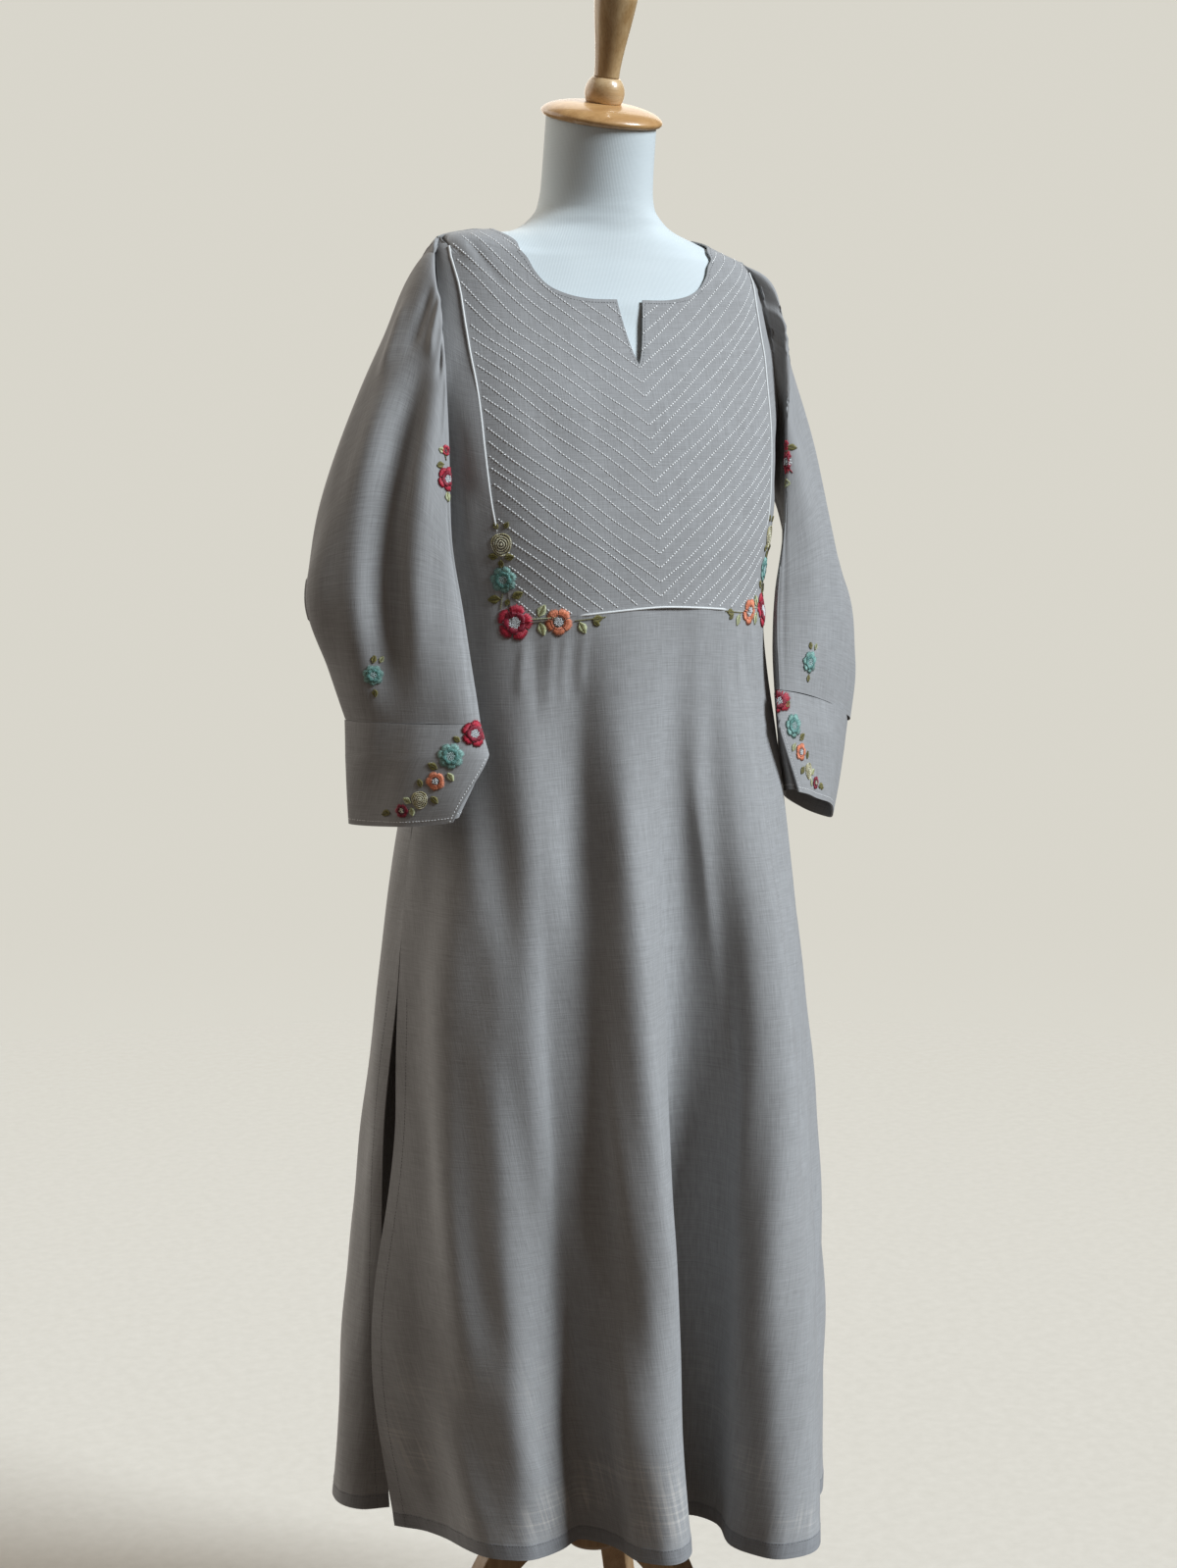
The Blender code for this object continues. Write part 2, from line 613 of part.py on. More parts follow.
def armhole_ring():
    """The sleeve's first ring, just outside the armhole's edge: from the tip round by the front."""
    front = [body(*spot) + outward(body, *spot) * 1.5 * SEAM_GAP for spot in FRONT_ARMHOLE[::-1]]
    back = [body_back(*spot) + outward(body_back, *spot) * -1.5 * SEAM_GAP for spot in BACK_ARMHOLE]
    return np.array(front + back[1:-1])


RING_ANGLES = np.linspace(0, 2 * math.pi, 2 * (ARMHOLE_ROWS + 1) + 1)[:-1]


def make_sleeve(name, table, left, material):
    """A sleeve that hangs empty and flattened, from the armhole to the cuff's seam."""
    sections = [armhole_ring()] + [ring_points(ring, RING_ANGLES) for ring in table]
    curves = [rounded([part[k] for part in sections], SLEEVE_SPANS) for k in range(len(RING_ANGLES))]
    grid = np.array(curves).transpose(1, 0, 2)
    for row in grid[1:]:
        for k, point in enumerate(row):
            row[k] = clear_of_body(point, SLEEVE_CLEARANCE)
    if left:
        return wall(loft(name, [grid], material, round_it=True), CLOTH)
    return wall(loft(name, [mirrored(grid)], material, round_it=True), CLOTH)


def make_cuff(name, table, left, material):
    """A doubled cuff whose two ends cross at the front fold. The outer one is cut away as a petal."""
    rings = rounded(np.array(table).reshape(len(table), -1), 3).reshape(-1, 4, 3)
    grid = []
    for ring, fall in zip(rings, np.linspace(0, 1, len(rings))):
        start = math.radians(62 - 36 * fall)
        end = math.radians(360 + 88 - 46 * max((fall - PETAL_TOP) / (1 - PETAL_TOP), 0) ** 0.8)
        row = ring_points(ring, np.linspace(start, end, CUFF_COLUMNS + 1))
        # The outer end lies over the inner one by a wall and a gap, and stands off below the notch.
        lift = 0.0026 + 0.0030 * min(fall / PETAL_TOP, 1)
        offset = (row - row.mean(axis=0)) * (1, 1, 0)
        offset /= np.linalg.norm(offset, axis=1, keepdims=True)
        spread = lift * np.linspace(0, 1, CUFF_COLUMNS + 1) ** 2
        row = row + offset * spread[:, None]
        grid.append([clear_of_body(point, SLEEVE_CLEARANCE + over) for point, over in zip(row, spread)])
    grid = np.array(grid)
    if left:
        return wall(loft(name, [grid], material), CUFF_CLOTH)
    return wall(loft(name, [mirrored(grid)], material), CUFF_CLOTH)


def make_piping(name, spots, material):
    """A white cord along a seam of the yoke, which lies on the cloth."""
    line = bpy.data.curves.new(name, "CURVE")
    line.dimensions = "3D"
    line.bevel_depth = PIPING_RADIUS
    line.bevel_resolution = 1
    line.use_fill_caps = True
    spline = line.splines.new("POLY")
    spline.points.add(len(spots) - 1)
    for point, (angle, height) in zip(spline.points, spots):
        place = body(angle, height) + outward(body, angle, height) * (PIPING_RADIUS + 2 * SEAM_GAP)
        point.co = (*settled(place), 1)
    return new_object(name, line, material)


def make_pipings(material):
    side = yoke_seam()
    side[0, 1] += 2.5 * PIPING_RADIUS
    make_piping("piping_left", side, material)
    make_piping("piping_right", side * (-1, 1), material)
    shares = np.linspace(-CORNER_SHARE, CORNER_SHARE, 2 * YOKE_COLUMNS + 1)
    heights = [yoke_edge_height(share) for share in shares]
    make_piping("piping_bottom", [(share_angle(s, z), z) for s, z in zip(shares, heights)], material)


def make_kurta():
    linen = finish("Grey linen", (0.33, 0.335, 0.34), 0.9)
    make_front(linen)
    make_yoke("yoke_right", False, linen)
    make_yoke("yoke_left", True, linen)
    make_back(linen)
    make_sleeve("sleeve_right", RIGHT_SLEEVE, False, linen)
    make_sleeve("sleeve_left", LEFT_SLEEVE, True, linen)
    make_cuff("cuff_right", RIGHT_CUFF, False, linen)
    make_cuff("cuff_left", LEFT_CUFF, True, linen)
    make_pipings(finish("White cord", (0.86, 0.86, 0.84), 0.8))


# ---------------------------------------------------------------- the dress form and its stand
def form_point(angle, height):
    """The padded form: its own torso, which rises into the bodice's inside and the neck."""
    fill = min(max((height - 1.27) / (1.34 - 1.27), 0.0), 1.0)
    fill = fill * fill * (3 - 2 * fill)
    clearance = FORM_CLEARANCE + FORM_SINK * eased(1 - abs(height - SHOULDER_TIP) / 0.03)
    inside = body(angle, height) - outward(body, angle, height) * (CLOTH + clearance)
    if height >= 1.35:
        return inside
    return oval(TORSO, angle, height) * (1 - fill) + inside * fill


def make_form():
    jersey = finish("Pale blue jersey", (0.70, 0.75, 0.77), 0.85)
    heights = (0.765, 0.775, 0.80, 0.83, 0.865, 0.905, 0.95, 0.99, 1.03, 1.065, 1.10, 1.13, 1.16, 1.185, 1.21,
               1.24, 1.27, 1.30, 1.33, 1.355, 1.378, 1.395, 1.405, 1.413, 1.419, 1.4255, 1.432, 1.440, 1.449,
               1.460, 1.476, 1.505, NECK_TOP)
    columns = np.linspace(-math.pi, math.pi, FORM_COLUMNS + 1)[:-1]
    grid = np.array([[form_point(angle, height) for angle in columns] for height in heights])
    # The neck is cut square to its lean, so its upper rows dip to the front.
    for row, share in ((-1, 1.0), (-2, 0.45), (-3, 0.10)):
        middle = grid[row].mean(axis=0)
        grid[row, :, 2] += (grid[row, :, 1] - middle[1]) * math.tan(NECK_TILT) * share
    loft("form_body", [grid], jersey, round_it=True, caps=True)


# The three turned pieces on the neck, as (radius, height over the neck) from the top down.
CAP_PROFILE = ((0.0, 0.0165), (0.018, 0.0165), (0.032, 0.0152), (0.043, 0.0128), (0.0505, 0.0098),
               (0.0550, 0.0062), (0.0558, 0.0036), (0.0542, 0.0010), (0.0515, 0.0), (0.0, 0.0))
BEAD_RADIUS, BEAD_MIDDLE, BEAD_TOP = 0.0183, 0.0085, 0.0222
HANDLE_PROFILE = ((0.0, 0.0730), (0.0178, 0.0730), (0.0196, 0.0712), (0.0192, 0.0650), (0.0173, 0.0500),
                  (0.0146, 0.0320), (0.0125, 0.0160), (0.0117, 0.0060), (0.0116, 0.0), (0.0, 0.0))

# One leg's outline, from the hub out along its top and back along its underside.
LegMark = namedtuple("LegMark", "reach height")
LEG_TOP = tuple(LegMark(*row) for row in (
    (HUB_RADIUS + SEAM_GAP, 0.238), (0.054, 0.238), (0.084, 0.217), (0.117, 0.168), (0.150, 0.108),
    (0.186, 0.052), (0.214, 0.028), (FOOT_REACH, 0.020)))
LEG_FOOT = ((FOOT_REACH, 0.0), (FOOT_REACH - 0.046, 0.0))
LEG_UNDERSIDE = tuple(LegMark(*row) for row in (
    (FOOT_REACH - 0.054, 0.003), (0.160, 0.034), (0.124, 0.088), (0.090, 0.147), (0.068, 0.169),
    (0.048, 0.176), (HUB_RADIUS + SEAM_GAP, 0.176)))


def make_stand():
    wood = finish("Light wood", (0.62, 0.36, 0.16), 0.35)
    black = finish("Black board", (0.03, 0.03, 0.03), 0.7)
    # On the neck, square to its lean
    neck_middle = np.array((0.0, -BODY[-1].lean, NECK_TOP))
    up = np.array((0.0, -math.sin(NECK_TILT), math.cos(NECK_TILT)))
    bead = [(math.sqrt(BEAD_RADIUS**2 - (height - BEAD_MIDDLE) ** 2), height)
            for height in np.linspace(BEAD_TOP, 0, 8)]
    bead = [(0.0, BEAD_TOP), *bead, (0.0, 0.0)]
    rise = SEAM_GAP
    for name, profile in (("neck_cap", CAP_PROFILE), ("finial_bead", bead), ("finial_handle", HANDLE_PROFILE)):
        piece = turned(name, profile, wood)
        piece.location = neck_middle + up * rise
        piece.rotation_euler = (NECK_TILT, 0, 0)
        rise += profile[0][1] + SEAM_GAP
    # Under the torso
    board_foot = TORSO_FOOT - SEAM_GAP - BASE_BOARD
    around = np.linspace(-math.pi, math.pi, 33)[:-1]
    board = [[oval(TORSO, angle, TORSO_FOOT) * (0.93, 0.93, 0) + (0, 0, height) for angle in around]
             for height in (board_foot, board_foot + BASE_BOARD)]
    loft("form_base", [board], black, round_it=True, caps=True)
    turned("pole", ((0.0, board_foot - SEAM_GAP), (POLE_RADIUS, board_foot - SEAM_GAP),
                    (POLE_RADIUS, HUB_TOP + SEAM_GAP), (0.0, HUB_TOP + SEAM_GAP)), wood, steps=24)
    turned("stand_hub", ((0.0, HUB_TOP), (HUB_RADIUS - 0.004, HUB_TOP), (HUB_RADIUS, HUB_TOP - 0.004),
                         (HUB_RADIUS, HUB_FOOT + 0.006), (HUB_RADIUS - 0.006, HUB_FOOT), (0.0, HUB_FOOT)),
           wood, steps=24)
    outline = [*rounded(LEG_TOP, 3), *LEG_FOOT, *rounded(LEG_UNDERSIDE, 3)]
    for number, direction in enumerate(LEG_DIRECTIONS, 1):
        make_leg(f"leg_{number}", outline, math.radians(direction), wood)


def make_leg(name, outline, direction, material):
    """A leg sawn from a board, which stands on edge and points away from the hub."""
    shape = bpy.data.curves.new(name, "CURVE")
    shape.dimensions = "2D"
    shape.fill_mode = "BOTH"
    shape.extrude = LEG_THICKNESS / 2
    spline = shape.splines.new("POLY")
    spline.points.add(len(outline) - 1)
    spline.use_cyclic_u = True
    for point, (reach, height) in zip(spline.points, outline):
        point.co = (reach, height, 0, 1)
    leg = new_object(name, shape, material)
    along = Vector((math.sin(direction), -math.cos(direction), 0))
    upright = Vector((0, 0, 1))
    leg.matrix_world = Matrix((along, upright, along.cross(upright))).transposed().to_4x4()


clear_scene()
KURTA = bpy.data.collections.new("Kurta tunic on a dress form")
bpy.context.scene.collection.children.link(KURTA)
make_kurta()
make_form()
make_stand()
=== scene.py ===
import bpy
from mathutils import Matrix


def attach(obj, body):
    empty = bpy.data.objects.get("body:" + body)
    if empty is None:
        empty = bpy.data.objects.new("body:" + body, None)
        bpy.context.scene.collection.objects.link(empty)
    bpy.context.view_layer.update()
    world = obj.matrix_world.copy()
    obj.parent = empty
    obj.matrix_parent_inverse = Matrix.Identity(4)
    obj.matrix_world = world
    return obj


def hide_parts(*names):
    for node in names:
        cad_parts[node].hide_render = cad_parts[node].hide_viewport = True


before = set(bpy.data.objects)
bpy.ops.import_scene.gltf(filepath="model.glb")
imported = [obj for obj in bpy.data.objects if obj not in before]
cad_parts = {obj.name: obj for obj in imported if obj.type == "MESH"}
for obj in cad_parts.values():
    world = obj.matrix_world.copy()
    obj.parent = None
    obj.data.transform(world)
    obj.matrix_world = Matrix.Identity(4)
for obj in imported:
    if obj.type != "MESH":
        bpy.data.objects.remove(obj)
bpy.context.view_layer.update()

import math
from collections import namedtuple

import bmesh
import bpy
import numpy as np
from mathutils import Matrix, Vector
from mathutils.bvhtree import BVHTree

# A long grey linen kurta on a padded dress form with a wooden neck cap and a tripod stand.
# Metres, +Z up. The pole stands on the origin, the front faces -Y and the wearer's right is -X.

# ================ the front panel
# The skirt's front with the two side panels that rise beside the yoke, cut in one from grey slub
# linen. It hangs from the shoulders and opens at two side slits, with a turned hem all round them.
HEM_HEIGHT = 0.224
UNDERARM = 1.235
SHOULDER_TIP = 1.411
NECK_POINT = 1.431
RIGHT_SHOULDER_LIFT = 0.016     # how much higher the cloth lies on the wearer's right shoulder
LIFT_OUT, LIFT_UP = (0.075, 0.080), (1.335, 0.070)      # where the lift begins, and over what way it grows
SLIT_TOP = 0.757
FOLD_TOP = 1.06                 # where the skirt's folds begin to show
FOLD_POWERS = {False: 1.35, True: 1.8}      # how late they deepen, on the front and on the back
YOKE_BOTTOM = 1.098             # the yoke's lower edge at the centre front
YOKE_DIP = 0.013                # how much lower its corners lie
YOKE_CORNER = 0.130             # the corners' distance from the middle
CLOTH = 0.0012                  # thickness of the linen wall
SEAM_GAP = 0.0003
SIDE_GAP = 0.0005
HEM = 0.0150                    # depth of the turned hems
FINER = 5                       # the solids' divisions are each divided into this many


def as_rows(kind, rows):
    """The rows of a table, each with its values named."""
    return tuple(kind(*row) for row in rows)


# The outside of the cloth as sections of the body, from the hem to the top of the neck.
Section = namedtuple("Section", "height half_width front back squareness lean", defaults=(0.0,))
BODY = as_rows(Section, (
    (0.224, 0.240, 0.180, 0.205, 2.0),
    (0.570, 0.220, 0.167, 0.154, 2.0),
    (0.776, 0.204, 0.149, 0.139, 2.0),
    (0.865, 0.193, 0.138, 0.134, 2.0),
    (0.950, 0.182, 0.128, 0.128, 2.0),
    (1.030, 0.173, 0.123, 0.110, 2.0),
    (1.098, 0.171, 0.120, 0.103, 2.05),
    (1.150, 0.175, 0.117, 0.105, 2.2),
    (1.204, 0.180, 0.109, 0.108, 2.4),
    (1.260, 0.184, 0.098, 0.108, 2.45),
    (1.3145, 0.185, 0.081, 0.104, 2.4),
    (1.350, 0.181, 0.070, 0.097, 2.25),
    (1.385, 0.173, 0.061, 0.086, 2.1),
    (1.400, 0.167, 0.058, 0.079, 2.0),
    (1.411, 0.158, 0.056, 0.073, 1.95),
    (1.420, 0.134, 0.055, 0.068, 1.9),
    (1.431, 0.105, 0.054, 0.062, 1.9),
    (1.440, 0.080, 0.053, 0.057, 1.9, 0.001),
    (1.448, 0.067, 0.053, 0.055, 2.0, 0.0015),
    (1.458, 0.0585, 0.0535, 0.054, 2.0, 0.002),
    (1.475, 0.0552, 0.0535, 0.0535, 2.0, 0.004),
    (1.5345, 0.0535, 0.0535, 0.0535, 2.0, 0.012),
))

# The hem seen from above, one row for each turn of its folds, from the wearer's right slit to the left.
Turn = namedtuple("Turn", "left front")
FRONT_HEM = as_rows(Turn, (
    (-0.206, -0.020), (-0.178, 0.022), (-0.170, 0.076), (-0.138, 0.114), (-0.098, 0.108), (-0.069, 0.093),
    (-0.054, 0.120), (-0.050, 0.164), (-0.022, 0.186), (0.009, 0.168), (0.025, 0.118), (0.045, 0.097),
    (0.060, 0.122), (0.046, 0.178), (0.062, 0.224), (0.102, 0.229), (0.130, 0.197), (0.142, 0.152),
    (0.176, 0.126), (0.212, 0.088), (0.214, 0.024),
))
BACK_HEM = as_rows(Turn, (
    (-0.190, -0.062), (-0.219, -0.072), (-0.230, -0.104), (-0.204, -0.150), (-0.158, -0.160),
    (-0.128, -0.196), (-0.088, -0.218), (-0.048, -0.192), (-0.020, -0.166), (0.014, -0.190),
    (0.056, -0.222), (0.094, -0.200), (0.120, -0.162), (0.158, -0.158), (0.204, -0.140),
    (0.230, -0.094), (0.216, -0.034),
))

# The slits' edges bow on their way down. A height is a bow's middle, and it goes out and to the front.
Bow = namedtuple("Bow", "panel side height half_length out front")
BOWS = as_rows(Bow, (
    ("front", -1, 0.400, 0.230, 0.024, 0.000),
    ("front", 1, 0.290, 0.120, -0.010, 0.004),
    ("back", 1, 0.400, 0.150, 0.018, 0.020),
))
BOW_SHARE = 0.30

Mark = namedtuple("Mark", "out height")
YOKE_SIDE = as_rows(Mark, (
    (YOKE_CORNER, YOKE_BOTTOM - YOKE_DIP), (0.1425, 1.165), (0.148, 1.200), (0.1525, 1.277),
    (0.155, 1.320), (0.156, 1.360), (0.1575, 1.388), (0.1585, 1.402),
))


def monotone(xs, ys, x):
    """A smooth curve through the points that never overshoots them (Fritsch and Carlson)."""
    xs, ys, x = (np.asarray(values, float) for values in (xs, ys, x))
    step = np.diff(xs)
    slope = np.diff(ys) / step
    tangent = np.zeros(len(xs))
    same = slope[:-1] * slope[1:] > 0
    weight_a, weight_b = 2 * step[1:] + step[:-1], step[1:] + 2 * step[:-1]
    slopes = weight_a[same] / slope[:-1][same] + weight_b[same] / slope[1:][same]
    tangent[1:-1][same] = (weight_a + weight_b)[same] / slopes
    tangent[0], tangent[-1] = slope[0], slope[-1]
    k = np.clip(np.searchsorted(xs, x) - 1, 0, len(step) - 1)
    t = np.clip((x - xs[k]) / step[k], 0, 1)
    return (
        ys[k] * (1 + 2 * t) * (1 - t) ** 2
        + step[k] * tangent[k] * t * (1 - t) ** 2
        + ys[k + 1] * t * t * (3 - 2 * t)
        + step[k] * tangent[k + 1] * t * t * (t - 1)
    )


def rounded(points, per_span=8):
    """A Catmull-Rom curve through the points."""
    points = np.asarray(points, float)
    ends = np.concatenate([[2 * points[0] - points[1]], points, [2 * points[-1] - points[-2]]])
    curve = []
    for a, b, c, d in zip(ends, ends[1:], ends[2:], ends[3:]):
        for t in np.arange(per_span) / per_span:
            curve.append(0.5 * (2 * b + (c - a) * t + (2 * a - 5 * b + 4 * c - d) * t**2
                                + (3 * b - a - 3 * c + d) * t**3))
    return np.array(curve + [points[-1]])


def run_along(points):
    """The length along a line of points, up to each of them."""
    return np.concatenate([[0], np.cumsum(np.linalg.norm(np.diff(points, axis=0), axis=1))])


def spaced(curve, count, solid=None):
    """count + 1 points along the curve, evenly far apart on the solid form that it maps to."""
    curve = np.asarray(curve, float)
    length = run_along(curve if solid is None else solid(curve[:, 0], curve[:, 1]))
    at = np.linspace(0, length[-1], count + 1)
    return np.column_stack([np.interp(at, length, curve[:, k]) for k in range(curve.shape[1])])


def oval(table, angle, height):
    """Points of the table's surface, by their angle from the centre front."""
    heights = [row.height for row in table]
    half_width, front, back, squareness, lean = (
        monotone(heights, [row[k] for row in table], height) for k in range(1, 6))
    across, along = np.sin(angle), np.cos(angle)
    x = half_width * np.sign(across) * np.abs(across) ** (2 / squareness)
    depth = np.where(along >= 0, front, back)
    y = -depth * np.sign(along) * np.abs(along) ** (2 / squareness) - lean
    return np.stack(np.broadcast_arrays(x, y, height), axis=-1)


def angle_of(out, height):
    """The angle from the centre line at which the body's section lies this far out."""
    heights = [row.height for row in BODY]
    half_width = monotone(heights, [row.half_width for row in BODY], height)
    squareness = monotone(heights, [row.squareness for row in BODY], height)
    return np.arcsin(np.minimum(1.0, (out / half_width) ** (squareness / 2)))


def body(angle, height):
    return oval(BODY, angle, height)


def body_back(angle, height):
    return oval(BODY, math.pi - angle, height)


# Angles from the centre line to the side seam, by height and by share of the cloth's way round.
SHARE_HEIGHTS = np.linspace(HEM_HEIGHT, 1.45, 246)
SHARES = np.linspace(0, 1, 65)


def turns_by_share(surface):
    angles = np.linspace(0, math.pi / 2, 97)
    rows = []
    for height in SHARE_HEIGHTS:
        length = run_along(surface(angles, np.full(len(angles), height)))
        rows.append(np.interp(SHARES, length / length[-1], angles))
    return np.array(rows)


TURNS = {False: turns_by_share(body), True: turns_by_share(body_back)}


def between(table, row, column):
    """Values between the entries of a table, for rows and columns that needn't be whole numbers."""
    row = np.clip(row, 0, table.shape[0] - 1)
    column = np.clip(column, 0, table.shape[1] - 1)
    i = np.minimum(row.astype(int), table.shape[0] - 2)
    j = np.minimum(column.astype(int), table.shape[1] - 2)
    a, b = row - i, column - j
    if table.ndim == 3:
        a, b = a[..., None], b[..., None]
    return ((1 - a) * (1 - b) * table[i, j] + (1 - a) * b * table[i, j + 1]
            + a * (1 - b) * table[i + 1, j] + a * b * table[i + 1, j + 1])


def share_angle(share, height, back=False):
    """The angle at this share of the way, along the cloth, from the centre line to the side seam."""
    share, height = np.broadcast_arrays(np.asarray(share, float), np.asarray(height, float))
    row = (height - SHARE_HEIGHTS[0]) / (SHARE_HEIGHTS[1] - SHARE_HEIGHTS[0])
    column = np.abs(share) * (len(SHARES) - 1)
    return np.sign(share) * between(TURNS[back], row, column)


def angle_share(angle, height):
    row = int(round((height - SHARE_HEIGHTS[0]) / (SHARE_HEIGHTS[1] - SHARE_HEIGHTS[0])))
    return np.interp(angle, TURNS[False][row], SHARES)


def hem_curve(turns):
    return rounded([(turn.left, -turn.front) for turn in turns])


HEM_CURVES = {False: hem_curve(FRONT_HEM), True: hem_curve(BACK_HEM)}


def eased(share):
    share = np.clip(share, 0.0, 1.0)
    return share * share * (3 - 2 * share)


def loose(share, height, back):
    """A panel that hangs by itself: the body's smooth section turns into the hem's folds."""
    angle = share_angle(share, height, back)
    smooth = oval(BODY, math.pi - angle if back else angle, height)
    curve = HEM_CURVES[back]
    length = run_along(curve)
    at = (share + 1) / 2 * length[-1]
    weight = (np.maximum(FOLD_TOP - height, 0) / (FOLD_TOP - HEM_HEIGHT)) ** FOLD_POWERS[back]
    points = smooth.copy()
    for k in (0, 1):
        points[..., k] += (np.interp(at, length, curve[:, k]) - smooth[..., k]) * weight
    return points


def hanging(share, height, back=False):
    """The skirt. Its panels' edges run together down to the slits, and part below them."""
    share, height = np.broadcast_arrays(np.asarray(share, float), np.asarray(height, float))
    points = loose(share, height, back)
    side = np.where(share < 0, -1.0, 1.0)
    sewn = np.maximum(height, SLIT_TOP)
    apart = (loose(side, sewn, not back) - loose(side, sewn, back)) / 2
    held = np.clip((height - HEM_HEIGHT) / (SLIT_TOP - HEM_HEIGHT), 0, 1) ** 1.5
    held = held * eased((np.abs(share) - 0.7) / 0.3) * (height < FOLD_TOP)
    points[..., :2] += (apart * held[..., None])[..., :2]
    for bow in BOWS:
        if (bow.panel == "back") == back:
            reach = eased(1 - np.abs(height - bow.height) / bow.half_length) * (side == bow.side)
            reach = reach * eased((np.abs(share) - 1 + BOW_SHARE) / BOW_SHARE)
            points[..., 0] += side * bow.out * reach
            points[..., 1] -= bow.front * reach
    return points


def settled(points):
    """The cloth and the form's padding under it lie a little higher on the wearer's right shoulder."""
    lift = eased((-points[..., 0] - LIFT_OUT[0]) / LIFT_OUT[1])
    lift = lift * eased((points[..., 2] - LIFT_UP[0]) / LIFT_UP[1])
    points = points.copy()
    points[..., 2] += RIGHT_SHOULDER_LIFT * lift
    return points


def armhole(inset, turn):
    """The armhole's edge as (angle, height), by how far round it from the underarm, 0, to the tip, pi."""
    height = UNDERARM + (SHOULDER_TIP - UNDERARM) * (1 - np.cos(turn)) / 2
    share = (height - UNDERARM) / (SHOULDER_TIP - UNDERARM)
    angle = np.radians(90 - inset * np.sin(math.pi * share) ** 0.8)
    return np.column_stack([angle, height])


FRONT_INSET, BACK_INSET = 22, 15        # degrees that the armhole cuts into the front and back
SEAM_END_TURN = math.pi * 8 / 9         # how far round the armhole the yoke's outer seam ends
ARMHOLE_ROWS, SIDE_ROWS, SEAM_ROWS = 8 * FINER, 4 * FINER, 3 * FINER
CORNER_SHARE = angle_share(angle_of(YOKE_CORNER, YOKE_BOTTOM - YOKE_DIP), YOKE_BOTTOM - YOKE_DIP)


def yoke_edge_height(share):
    """The yoke's lower edge, which dips to its corners and runs on level to the side seams."""
    return YOKE_BOTTOM - YOKE_DIP * np.minimum(np.abs(share) / CORNER_SHARE, 1.0) ** 1.5


def on_body(marks):
    return np.array([(angle_of(mark.out, mark.height), mark.height) for mark in marks])


def yoke_seam(rows):
    """The yoke's outer seam, with the rows of the side panel beside it."""
    curve = rounded(on_body(YOKE_SIDE))
    rise = np.linspace(curve[0][1], curve[-1][1], rows + 1)
    return np.column_stack([np.interp(rise, curve[:, 1], curve[:, 0]), rise])


def normals_of(points):
    """The unit normals of a grid of points whose columns run to the left of someone who faces it."""
    normal = np.cross(np.gradient(points, axis=1), np.gradient(points, axis=0))
    return normal / np.maximum(np.linalg.norm(normal, axis=-1, keepdims=True), 1e-12)


def across_of(points, middle):
    """How far each point of a grid lies along its row from the middle column."""
    steps = np.linalg.norm(np.diff(points, axis=1), axis=-1)
    run = np.concatenate([np.zeros((len(points), 1)), np.cumsum(steps, axis=1)], axis=1)
    return run - run[:, middle:middle + 1]


# A crease runs in a slight bow between two places, each its distance across from the centre line or
# the fold, and its height. A positive depth is a ridge, and a negative one a trough.
Crease = namedtuple("Crease", "across height across_end height_end width depth bend", defaults=(0.0,))


def creased(points, across, creases):
    lift = np.zeros(points.shape[:2])
    for crease in creases:
        run_x, run_z = crease.across_end - crease.across, crease.height_end - crease.height
        length = math.hypot(run_x, run_z)
        x, z = across - crease.across, points[..., 2] - crease.height
        t = np.clip((x * run_x + z * run_z) / length**2, -0.2, 1.2)
        beside = (x * run_z - z * run_x) / length - crease.bend * 4 * t * (1 - t)
        ends = eased((t + 0.05) / 0.35) * eased((1.05 - t) / 0.35)
        lift += crease.depth * np.exp(-((beside / crease.width) ** 2)) * ends
    return points + normals_of(points) * lift[..., None]


def rumpled(points, across, seed, amount=0.0006, shortest=0.035, longest=0.16, fade=1.0):
    """The unevenness of linen that has been worn and hung, as many faint waves that cross each other."""
    random = np.random.RandomState(seed)
    lift = np.zeros(points.shape[:2])
    waves = 26
    for _ in range(waves):
        way = random.uniform(-0.32, 0.32) * math.pi
        length = shortest * (longest / shortest) ** random.uniform()
        phase, strength = random.uniform(0, 2 * math.pi), length / longest
        place = across * math.cos(way) + points[..., 2] * math.sin(way) * 0.4
        lift += strength * np.sin(place * 2 * math.pi / length + phase)
    return points + normals_of(points) * (lift * fade * amount)[..., None]


def hem_band(points, edge_distance, along, swell=0.0005, pucker=0.0005):
    """Raises a turned hem a little over the cloth, and draws it into small puckers at its stitching."""
    band = eased((HEM + 0.002 - edge_distance) / 0.004)
    near = np.exp(-(((edge_distance - HEM) / 0.007) ** 2))
    ripple = np.sin(along * 2 * math.pi / 0.017 + 1.7 * np.sin(along * 2 * math.pi / 0.083))
    return points + normals_of(points) * (band * swell + near * ripple * pucker)[..., None]


def mesh_from(name, made):
    """A mesh of what a bmesh holds, which is freed."""
    mesh = bpy.data.meshes.new(name)
    made.to_mesh(mesh)
    made.free()
    return mesh


